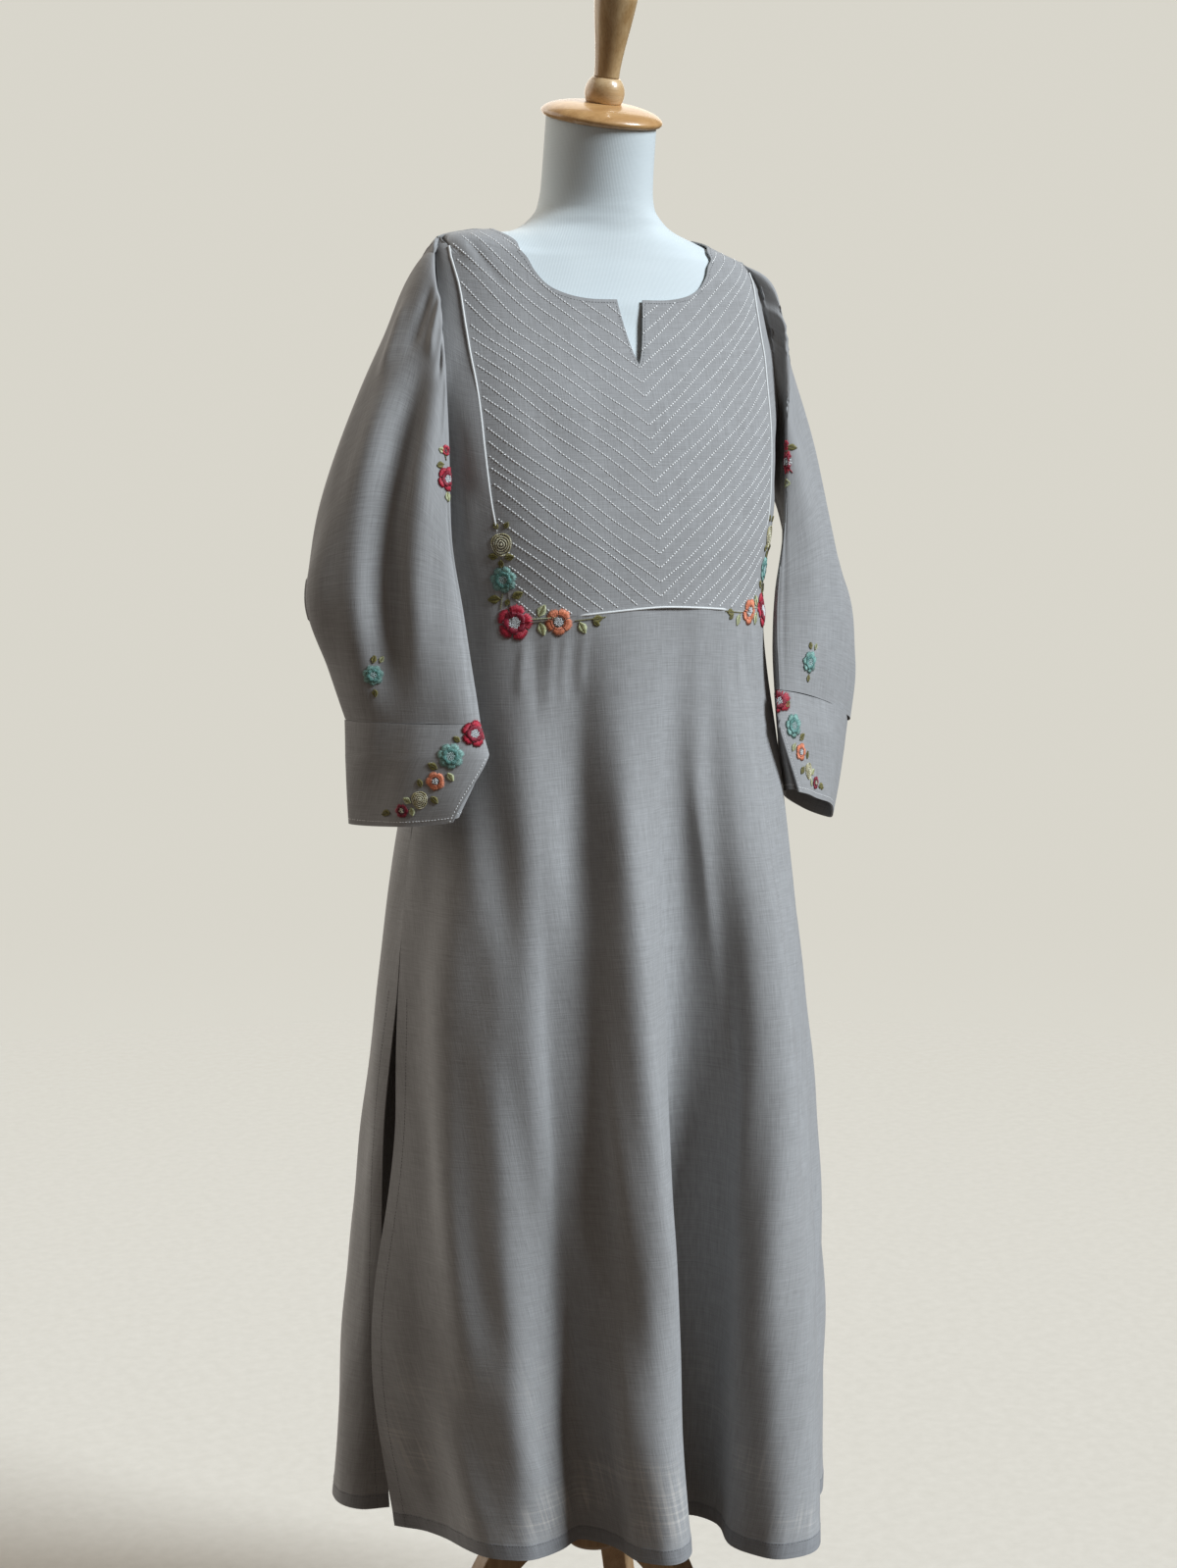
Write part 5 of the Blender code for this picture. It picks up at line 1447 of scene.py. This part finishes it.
# The sprays at the yoke's lower corners, by distance from the middle and height. This is the wearer's
# right one; the other mirrors it.
YOKE_SPRAY = as_rows(Motif, (
    ("olive leaf", -0.1375, 1.1705, 0.0065, 60), ("olive leaf", -0.1425, 1.1700, 0.0060, 125),
    ("rose", -0.1395, 1.1560, 0.0098, 0),
    ("olive leaf", -0.1420, 1.1445, 0.0085, 170), ("olive leaf", -0.1365, 1.1440, 0.0085, 10),
    ("olive leaf", -0.1395, 1.1420, 0.0070, 270),
    ("teal flower", -0.1370, 1.1245, 0.0128, 20),
    ("olive stem", -0.1370, 1.1120, 0.0120, 262),
    ("olive leaf", -0.1385, 1.1075, 0.0115, 185), ("olive leaf", -0.1300, 1.1090, 0.0105, 25),
    ("olive leaf", -0.1330, 1.1070, 0.0060, 250),
    ("mint stem", -0.1180, 1.0895, 0.0220, 4),
    ("red flower", -0.1285, 1.0865, 0.0172, 80),
    ("mint leaf", -0.1105, 1.0925, 0.0115, 62), ("mint leaf", -0.1100, 1.0860, 0.0120, -70),
    ("orange flower", -0.0950, 1.0872, 0.0132, 55),
    ("olive stem", -0.0820, 1.0880, 0.0270, 6),
    ("mint leaf", -0.0775, 1.0865, 0.0115, -62), ("olive leaf", -0.0660, 1.0890, 0.0095, 8),
    ("olive leaf", -0.0655, 1.0875, 0.0070, -35),
))
LEFT_SPRAY_OUT = 0.022          # the wearer's left spray lies this much further round the body


def place_on_bodice(motif):
    """The motif's place on the bodice, from its distance out from the middle and its height."""
    angle = angle_of(abs(motif.across), motif.up)
    if motif.across > 0:
        way = run_along(body(np.linspace(0, math.pi / 2, 60), np.full(60, motif.up)))[-1]
        share = min(angle_share(angle, motif.up) + LEFT_SPRAY_OUT / way, 0.995)
        angle = share_angle(share, motif.up)
    return body(math.copysign(float(angle), motif.across), motif.up)


sprays = {side: embroidered(
    f"spray_{side}", motifs, place_on_bodice, tree_of(front_panel, yokes[side]), seed)
    for side, motifs, seed in (("right", YOKE_SPRAY, 41), ("left", other_side(YOKE_SPRAY), 42))}

# The cuffs' sprays follow the petal's edge, by distance in from the front fold and up from the hem.
# The sleeves' small ones lie by the front fold.
CUFF_SPRAY = as_rows(Motif, (
    ("red flower", 0.0170, 0.0890, 0.0130, 70),
    ("olive leaf", 0.0310, 0.0820, 0.0070, 140),
    ("teal flower", 0.0375, 0.0670, 0.0126, 15),
    ("olive leaf", 0.0455, 0.0550, 0.0095, 150), ("mint leaf", 0.0340, 0.0500, 0.0085, -55),
    ("orange flower", 0.0440, 0.0420, 0.0090, 40),
    ("olive leaf", 0.0530, 0.0370, 0.0075, 110), ("olive leaf", 0.0445, 0.0265, 0.0085, -45),
    ("rose", 0.0530, 0.0255, 0.0076, 0),
    ("mint leaf", 0.0605, 0.0210, 0.0080, 150), ("mint leaf", 0.0590, 0.0180, 0.0075, -80),
    ("small red flower", 0.0700, 0.0155, 0.0068, 0),
    ("olive leaf", 0.0795, 0.0130, 0.0080, 175), ("olive leaf", 0.0845, 0.0120, 0.0060, 195),
))
SLEEVE_SPRAYS = {"right": as_rows(Motif, (
    ("red flower", 0.0060, 0.2130, 0.0118, 60),
    ("red bud", 0.0090, 0.2330, 0.0052, 20), ("olive stem", 0.0080, 0.2240, 0.0080, 100),
    ("mint leaf", 0.0150, 0.2250, 0.0075, 160), ("mint leaf", 0.0080, 0.1990, 0.0085, -80),
    ("olive leaf", 0.0200, 0.2130, 0.0085, 185),
    ("teal flower", 0.0930, 0.0406, 0.0100, 10), ("olive leaf", 0.0925, 0.0520, 0.0070, 80),
    ("olive leaf", 0.0935, 0.0290, 0.0070, -80), ("mint leaf", 0.0870, 0.0500, 0.0060, 60),
)), "left": as_rows(Motif, (
    ("red flower", -0.0080, 0.2060, 0.0118, 60),
    ("red bud", -0.0050, 0.2260, 0.0052, 20), ("olive stem", -0.0060, 0.2170, 0.0080, 80),
    ("mint leaf", -0.0090, 0.1910, 0.0085, -100), ("olive leaf", -0.0210, 0.2060, 0.0085, -5),
    ("teal flower", -0.0420, 0.0310, 0.0115, 10), ("olive leaf", -0.0425, 0.0430, 0.0070, 95),
    ("olive leaf", -0.0420, 0.0185, 0.0070, -95), ("mint leaf", -0.0500, 0.0410, 0.0065, 60),
))}


def place_on(grid):
    """Gives each motif the place of the grid's point that lies nearest to its distances."""
    points, across, up = grid

    def place(motif):
        nearest = np.argmin((across - motif.across) ** 2 + (up - motif.up) ** 2)
        return points.reshape(-1, 3)[nearest]
    return place


def place_by_fold(side):
    """Gives each motif of a cuff its place, by its distance in from the end that lies by the front fold."""
    points, across, up = cuff_grids[side]
    inwards = np.abs(across - (across[:, :1] if side == "left" else across[:, -1:]))
    inwards = inwards + (inwards.max() - inwards.max(axis=1, keepdims=True)) * 0.5
    inwards = inwards + CUFF_SPRAY_IN[side]
    return place_on((points, inwards, up))


CUFF_SPRAY_IN = {"left": 0.018, "right": 0.0}   # the left spray lies this much nearer to the fold
cuff_sprays, sleeve_sprays = {}, {}
for seed, side in enumerate(("right", "left"), 51):
    spray = CUFF_SPRAY
    if side == "left":
        spray = tuple(motif._replace(turn=180 - motif.turn) for motif in CUFF_SPRAY)
    both = tree_of(cuffs[side], sleeves[side])
    cuff_sprays[side] = embroidered(f"cuff_spray_{side}", spray, place_by_fold(side), both, seed)
    on_sleeve = place_on(sleeve_grids[side])
    sleeve_sprays[side] = embroidered(
        f"sleeve_spray_{side}", SLEEVE_SPRAYS[side], on_sleeve, tree_of(sleeves[side]), seed + 2)


# ================ the dress form
# A padded torso without arms under a fitted cover of pale blue-grey knitted jersey, which shows at the
# neck. It fills the bodice above and ends in a flat foot inside the skirt.
NECK_TOP = 1.5345
NECK_TILT = math.radians(14)    # the cap leans this far to the front
TORSO_FOOT = 0.765
FORM_CLEARANCE, FORM_SINK = 0.0020, 0.0022
TORSO = as_rows(Section, (
    (0.765, 0.150, 0.095, 0.112, 2.1),
    (0.785, 0.158, 0.100, 0.120, 2.1),
    (0.860, 0.165, 0.102, 0.124, 2.1),
    (0.950, 0.146, 0.090, 0.105, 2.1),
    (1.030, 0.118, 0.080, 0.086, 2.1),
    (1.100, 0.124, 0.090, 0.086, 2.1),
    (1.160, 0.137, 0.104, 0.092, 2.2),
    (1.204, 0.146, 0.105, 0.098, 2.4),
    (1.260, 0.150, 0.094, 0.101, 2.5),
    (1.3145, 0.156, 0.078, 0.100, 2.5),
    (1.350, 0.163, 0.068, 0.094, 2.3),
))
FORM_HEIGHTS = np.concatenate([np.linspace(TORSO_FOOT, 1.36, 90, endpoint=False),
                               np.linspace(1.36, 1.45, 140, endpoint=False), np.linspace(1.45, NECK_TOP, 71)])
FORM_ROUND = 240
# How much of its tilt the neck has at each height.
NECK_LEAN = ((1.460, 0.0), (1.476, 0.10), (1.505, 0.45), (NECK_TOP, 1.0))


def form_points(angle, height):
    """The padded form: its own torso, which rises into the bodice's inside and the neck."""
    fill = eased((height - 1.27) / (1.34 - 1.27))[..., None]
    neck = on_body(FRONT_NECK + BACK_NECK[-1:])
    neckline = np.where(np.abs(angle) < math.pi / 2, np.interp(np.abs(angle), *neck.T), BACK_NECK[0].height)
    clearance = FORM_CLEARANCE + FORM_SINK * eased((neckline - height) / 0.025)
    place, _, _, normal = body_frame(angle, height)
    # Along the shoulder's ridge the padding lies straight under the cloth, from the front and the back.
    ridge = eased(1 - np.abs(np.abs(angle) - math.pi / 2) / 0.40) * eased((height - 1.395) / 0.012)
    ridge = (ridge * eased((1.450 - height) / 0.015))[..., None]
    above = np.stack([0.31 * np.sign(angle), 0 * angle, 0.95 + 0 * angle], axis=-1)
    normal = normal * (1 - ridge) + above * ridge
    normal /= np.linalg.norm(normal, axis=-1, keepdims=True)
    inside = place - normal * (CLOTH + clearance)[..., None]
    return oval(TORSO, angle, height) * (1 - fill) + inside * fill


def make_jersey():
    """Fine plain-knitted jersey: columns of small loops under a soft sheen."""
    finish = Finish("pale_blue_jersey", 0.78, Sheen_Weight=0.35, Sheen_Roughness=0.4,
                    Specular_IOR_Level=0.3)
    place = finish.cloth_place()
    loops = finish.node("TexWave", Scale=230.0, Distortion=0.6, Detail=1.0, Vector=place)
    cross = finish.node("TexWave", Scale=300.0, Distortion=0.5, Vector=place)
    cross.bands_direction = "Y"
    rows = finish.plus(finish.times(cross.outputs["Fac"], 0.6), 0.4)
    knit = finish.times(loops.outputs["Fac"], rows)
    cloud = finish.noise(place, (14, 14, 1), 3.0)
    colour = finish.ramp(knit, ((0.0, (0.60, 0.66, 0.675)), (0.5, (0.71, 0.775, 0.79))))
    shade = finish.ramp(cloud, ((0.35, (0.96, 0.965, 0.97)), (0.65, 1.0)))
    finish.coloured(finish.tinted("MULTIPLY", 1.0, colour, shade))
    finish.bumped(knit, 0.25, 0.0004)
    return finish.material


def make_form():
    angles = np.linspace(-math.pi, math.pi, FORM_ROUND + 1)
    points = form_points(*np.meshgrid(angles, FORM_HEIGHTS))
    # The neck is cut square to its lean, so its upper rows dip to the front.
    for height, point_row in zip(FORM_HEIGHTS, points):
        share = float(np.interp(height, *zip(*NECK_LEAN)))
        point_row[:, 2] += (point_row[:, 1] - point_row[:-1, 1].mean()) * math.tan(NECK_TILT) * share
    points = settled(points)
    points[:, -1] = points[:, 0]
    middle = FORM_ROUND // 2
    cover = cloth_mesh("jersey_torso", [(points, across_of(points, middle), upward_of(points, middle))])
    closed = bmesh.new()
    closed.from_mesh(cover)
    bmesh.ops.holes_fill(closed, edges=[edge for edge in closed.edges if edge.is_boundary], sides=0)
    closed.to_mesh(cover)
    closed.free()
    piece = placed("jersey_torso", cover, make_jersey())
    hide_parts("form_body")


make_form()

# ================ the board under the torso
# A thin black-stained board closes the foot of the torso. It is sawn to the torso's outline, a little
# inside the padding, and its edges are softened.
BASE_BOARD = 0.012
BOARD_FOOT = TORSO_FOOT - SEAM_GAP - BASE_BOARD
BOARD_SHARE = 0.93              # its width and depth, as a share of the torso's
BOARD_EDGE = 0.0015             # radius of its softened edges


def make_board():
    finish = Finish("black_stained_board", 0.6)
    place = finish.place()
    grain = finish.noise(place, (30, 400, 30), 4.0)
    finish.coloured(finish.ramp(grain, ((0.35, (0.018, 0.017, 0.016)), (0.7, (0.045, 0.042, 0.040)))))
    finish.bumped(grain, 0.3, 0.0005)
    return finish.material


def sawn_mesh(name, outline, foot, thickness):
    """A piece sawn from a flat board: its outline in X and Y, from its foot up by its thickness."""
    made = bmesh.new()
    face = made.faces.new([made.verts.new((x, y, foot)) for x, y in outline])
    pushed = bmesh.ops.extrude_face_region(made, geom=[face])
    bmesh.ops.translate(made, vec=(0, 0, thickness),
                        verts=[item for item in pushed["geom"] if isinstance(item, bmesh.types.BMVert)])
    bmesh.ops.recalc_face_normals(made, faces=made.faces)
    return mesh_from(name, made)


def make_base():
    around = np.linspace(-math.pi, math.pi, 129)[:-1]
    outline = oval(TORSO, around, np.full(len(around), TORSO_FOOT))[:, :2] * BOARD_SHARE
    piece = placed("base_board", sawn_mesh("base_board", outline, BOARD_FOOT, BASE_BOARD), make_board())
    soft = piece.modifiers.new("Soft edges", "BEVEL")
    soft.width, soft.segments = BOARD_EDGE, 3
    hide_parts("form_base")


make_base()

# ================ the wooden neck pieces
# A flat turned cap on the neck, a bead over it and a slightly waisted handle, in pale varnished wood.
# They stand one on another, square to the neck's lean.
CAP_PROFILE = ((0.0, 0.0165), (0.018, 0.0165), (0.032, 0.0152), (0.043, 0.0128), (0.0505, 0.0098),
               (0.0550, 0.0062), (0.0558, 0.0036), (0.0542, 0.0010), (0.0515, 0.0), (0.0, 0.0))
BEAD_RADIUS, BEAD_MIDDLE, BEAD_TOP = 0.0183, 0.0085, 0.0222
HANDLE_PROFILE = ((0.0, 0.0730), (0.0178, 0.0730), (0.0196, 0.0712), (0.0192, 0.0650), (0.0173, 0.0500),
                  (0.0146, 0.0320), (0.0125, 0.0160), (0.0117, 0.0060), (0.0116, 0.0), (0.0, 0.0))


def make_wood(name, along, light, dark, streaks=26.0, coat=0.55, roughness=0.38):
    """Varnished wood whose grain runs along one axis, with fine pores and a few wider streaks."""
    finish = Finish(name, roughness, Coat_Weight=coat, Coat_Roughness=0.12)
    place = finish.place()
    fine = [900.0, 900.0, 900.0]
    wide = [110.0, 110.0, 110.0]
    fine["XYZ".index(along)] = streaks
    wide["XYZ".index(along)] = streaks / 4
    pores = finish.noise(place, fine, 3.0)
    rings = finish.noise(place, wide, 4.0, 0.6)
    middle = tuple((a + b) / 2 for a, b in zip(light, dark))
    colour = finish.ramp(rings, ((0.32, dark), (0.5, middle), (0.66, light)))
    shade = finish.ramp(pores, ((0.30, (0.74, 0.68, 0.60)), (0.55, 1.0)))
    finish.coloured(finish.tinted("MULTIPLY", 0.7, colour, shade))
    finish.bumped(pores, 0.12, 0.0004)
    return finish.material


def turned(name, profile, material, node, steps=96):
    """A turned piece: its profile, of (radius, height) from the top down, spun about the Z axis."""
    made = bmesh.new()
    points = [made.verts.new((radius, 0, height)) for radius, height in profile]
    edges = [made.edges.new(pair) for pair in zip(points, points[1:])]
    bmesh.ops.spin(made, geom=points + edges, axis=(0, 0, 1), cent=(0, 0, 0), steps=steps,
                   angle=2 * math.pi, use_merge=True)
    bmesh.ops.remove_doubles(made, verts=made.verts, dist=1e-6)
    bmesh.ops.recalc_face_normals(made, faces=made.faces)
    mesh = mesh_from(name, made)
    mesh.shade_smooth()
    piece = placed(name, mesh, material)
    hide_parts(node)
    return piece


def smooth_profile(profile, per_span=5):
    """The profile with its side rounded between its points, and its flat ends kept."""
    return [profile[0], *rounded(profile[1:-1], per_span), profile[-1]]


def stood(piece, rise):
    """Moves a turned piece's points onto the neck, square to its lean, at a rise over it."""
    up = Vector((0, -math.sin(NECK_TILT), math.cos(NECK_TILT)))
    foot = Vector((0, -BODY[-1].lean, NECK_TOP)) + up * rise
    piece.data.transform(Matrix.Translation(foot) @ Matrix.Rotation(NECK_TILT, 4, "X"))


cap_wood = make_wood("cap_wood", "X", (0.66, 0.40, 0.17), (0.50, 0.27, 0.10))
handle_wood = make_wood("handle_wood", "Z", (0.60, 0.43, 0.23), (0.42, 0.26, 0.11))
bead_wood = make_wood("bead_wood", "X", (0.70, 0.50, 0.28), (0.56, 0.36, 0.17))
bead_profile = [(0.0, BEAD_TOP)] + [
    (math.sqrt(BEAD_RADIUS**2 - (height - BEAD_MIDDLE) ** 2), height)
    for height in np.linspace(BEAD_TOP, 0, 24)] + [(0.0, 0.0)]
rise = SEAM_GAP
for name, node, profile, material in (
    ("turned_neck_cap", "neck_cap", smooth_profile(CAP_PROFILE), cap_wood),
    ("turned_bead", "finial_bead", bead_profile, bead_wood),
    ("turned_handle", "finial_handle", smooth_profile(HANDLE_PROFILE), handle_wood),
):
    stood(turned(name, profile, material, node), rise)
    rise += profile[0][1] + SEAM_GAP

# ================ the stand
# A wooden pole under the torso, a turned hub at its foot and three legs sawn from board. The legs
# stand on edge, evenly round the hub, on flat soles.
POLE_RADIUS = 0.0125
FOOT_REACH = 0.246
HUB_FOOT, HUB_TOP, HUB_RADIUS = 0.172, 0.244, 0.030
LEG_THICKNESS, LEG_EDGE = 0.025, 0.0018
LEG_DIRECTIONS = (20, 140, 260)         # degrees from the front, towards the wearer's left
LegMark = namedtuple("LegMark", "reach height")
LEG_TOP = as_rows(LegMark, (
    (HUB_RADIUS + SEAM_GAP, 0.238), (0.054, 0.238), (0.084, 0.217), (0.117, 0.168), (0.150, 0.108),
    (0.186, 0.052), (0.214, 0.028), (FOOT_REACH, 0.020)))
LEG_FOOT = ((FOOT_REACH, 0.0), (FOOT_REACH - 0.046, 0.0))
LEG_UNDERSIDE = as_rows(LegMark, (
    (FOOT_REACH - 0.054, 0.003), (0.160, 0.034), (0.124, 0.088), (0.090, 0.147), (0.068, 0.169),
    (0.048, 0.176), (HUB_RADIUS + SEAM_GAP, 0.176)))


def make_leg(number, outline, direction, material):
    """A leg sawn from a board, which stands on edge and points away from the hub."""
    along = Vector((math.sin(direction), -math.cos(direction), 0))
    upright = Vector((0, 0, 1))
    beside = along.cross(upright)
    mesh = sawn_mesh(f"sawn_leg_{number}", outline, -LEG_THICKNESS / 2, LEG_THICKNESS)
    mesh.transform(Matrix((along, upright, beside)).transposed().to_4x4())
    piece = placed(f"sawn_leg_{number}", mesh, material)
    soft = piece.modifiers.new("Eased edges", "BEVEL")
    soft.width, soft.segments, soft.limit_method = LEG_EDGE, 3, "ANGLE"
    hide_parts(f"leg_{number}")


stand_wood = make_wood("stand_wood", "Z", (0.50, 0.33, 0.17), (0.36, 0.21, 0.09), coat=0.25, roughness=0.45)
turned("turned_pole", ((0.0, BOARD_FOOT - SEAM_GAP), (POLE_RADIUS, BOARD_FOOT - SEAM_GAP),
                       (POLE_RADIUS, HUB_TOP + SEAM_GAP), (0.0, HUB_TOP + SEAM_GAP)), stand_wood, "pole")
turned("turned_hub", ((0.0, HUB_TOP), (HUB_RADIUS - 0.004, HUB_TOP), (HUB_RADIUS, HUB_TOP - 0.004),
                      (HUB_RADIUS, HUB_FOOT + 0.006), (HUB_RADIUS - 0.006, HUB_FOOT), (0.0, HUB_FOOT)),
       stand_wood, "stand_hub")
leg_outline = [*rounded(LEG_TOP, 3), *LEG_FOOT, *rounded(LEG_UNDERSIDE, 3)]
for number, direction in enumerate(LEG_DIRECTIONS, 1):
    make_leg(number, leg_outline, math.radians(direction), stand_wood)

# ================ the floor, lights and camera
# A pale floor that runs on into the background, one large soft cool light from the front right, two
# faint warm ones from behind and a fainter warm one from all round.
WALL_COLOUR = (0.69, 0.67, 0.60)


def make_floor():
    """A matt floor that fades out, into the colour of the wall, a few metres from the object."""
    finish = Finish("pale_floor", 0.95)
    place = finish.place()
    speck = finish.noise(place, (60, 60, 60), 4.0)
    finish.coloured(finish.ramp(speck, ((0.3, (0.58, 0.55, 0.49)), (0.7, (0.62, 0.59, 0.53)))))
    reach = finish.node("VectorMath")
    reach.operation = "LENGTH"
    finish.feed(reach.inputs[0], place)
    fade = finish.node("MapRange", From_Min=1.0, From_Max=4.5, To_Min=1.0, To_Max=0.0,
                       Value=reach.outputs["Value"])
    fade.interpolation_type = "SMOOTHSTEP"
    # Only the camera meets the floor, so that it throws no light up into the folds.
    seen = finish.node("LightPath").outputs["Is Camera Ray"]
    mixed = finish.node("MixShader", Fac=finish.times(seen, fade.outputs["Result"]))
    finish.feed(mixed.inputs[1], finish.node("BsdfTransparent").outputs["BSDF"])
    finish.feed(mixed.inputs[2], finish.shader.outputs["BSDF"])
    finish.feed(finish.nodes["Material Output"].inputs["Surface"], mixed.outputs["Shader"])
    made = bmesh.new()
    bmesh.ops.create_grid(made, x_segments=1, y_segments=1, size=6)
    mesh = mesh_from("floor", made)
    mesh.materials.append(finish.material)
    floor = bpy.data.objects.new("floor", mesh)
    bpy.context.scene.collection.objects.link(floor)


def make_sky():
    """Light from all round, and a pale wall colour behind the object for the camera alone."""
    world = bpy.data.worlds.new("studio")
    world.use_nodes = True
    nodes, links = world.node_tree.nodes, world.node_tree.links
    light = nodes["Background"]
    light.inputs["Color"].default_value = (1.0, 0.84, 0.71, 1.0)
    light.inputs["Strength"].default_value = 0.128
    wall = nodes.new("ShaderNodeBackground")
    wall.inputs["Color"].default_value = (*WALL_COLOUR, 1.0)
    wall.inputs["Strength"].default_value = 1.0
    seen = nodes.new("ShaderNodeLightPath")
    mixed = nodes.new("ShaderNodeMixShader")
    links.new(seen.outputs["Is Camera Ray"], mixed.inputs["Fac"])
    links.new(light.outputs["Background"], mixed.inputs[1])
    links.new(wall.outputs["Background"], mixed.inputs[2])
    links.new(mixed.outputs["Shader"], nodes["World Output"].inputs["Surface"])
    bpy.context.scene.world = world


def make_sun(name, azimuth, elevation, strength, colour, spread):
    """A sun from this azimuth (0 in front, 90 at the wearer's left) and elevation, in degrees."""
    lamp = bpy.data.lights.new(name, "SUN")
    lamp.energy, lamp.color, lamp.angle = strength, colour, math.radians(spread)
    sun = bpy.data.objects.new(name, lamp)
    turn, lift = math.radians(azimuth), math.radians(elevation)
    way = Vector((math.sin(turn) * math.cos(lift), -math.cos(turn) * math.cos(lift), math.sin(lift)))
    sun.rotation_euler = way.to_track_quat("Z", "Y").to_euler()
    bpy.context.scene.collection.objects.link(sun)


make_floor()
make_sky()
make_sun("window", 42, 37, 4.5, (0.85, 0.93, 1.0), 24)
make_sun("bright_wall", -138, 22, 1.3, (1.0, 0.95, 0.87), 60)
make_sun("room_behind", 162, 22, 1.3, (1.0, 0.94, 0.85), 60)

CAMERA_PLACE = Vector((-1.27, -2.1997, 1.274))
CAMERA_DOWN = math.radians(7.864)
FOCAL_LENGTH, SENSOR = 62.2, 36.0               # millimetres
FOCAL_PIXELS, POLE_ASIDE = 2762, 6              # the pole lies about 6 pixels right of the middle
CAMERA_TURN = math.radians(-30) + math.atan2(POLE_ASIDE, FOCAL_PIXELS)
lens = bpy.data.cameras.new("camera")
lens.lens, lens.sensor_width, lens.sensor_height = FOCAL_LENGTH, SENSOR, SENSOR
lens.sensor_fit = "VERTICAL"
camera = bpy.data.objects.new("camera", lens)
camera.location = CAMERA_PLACE
camera.rotation_euler = (math.radians(90) - CAMERA_DOWN, 0, CAMERA_TURN)
bpy.context.scene.collection.objects.link(camera)
bpy.context.scene.camera = camera
bpy.context.scene.view_settings.view_transform = "Standard"
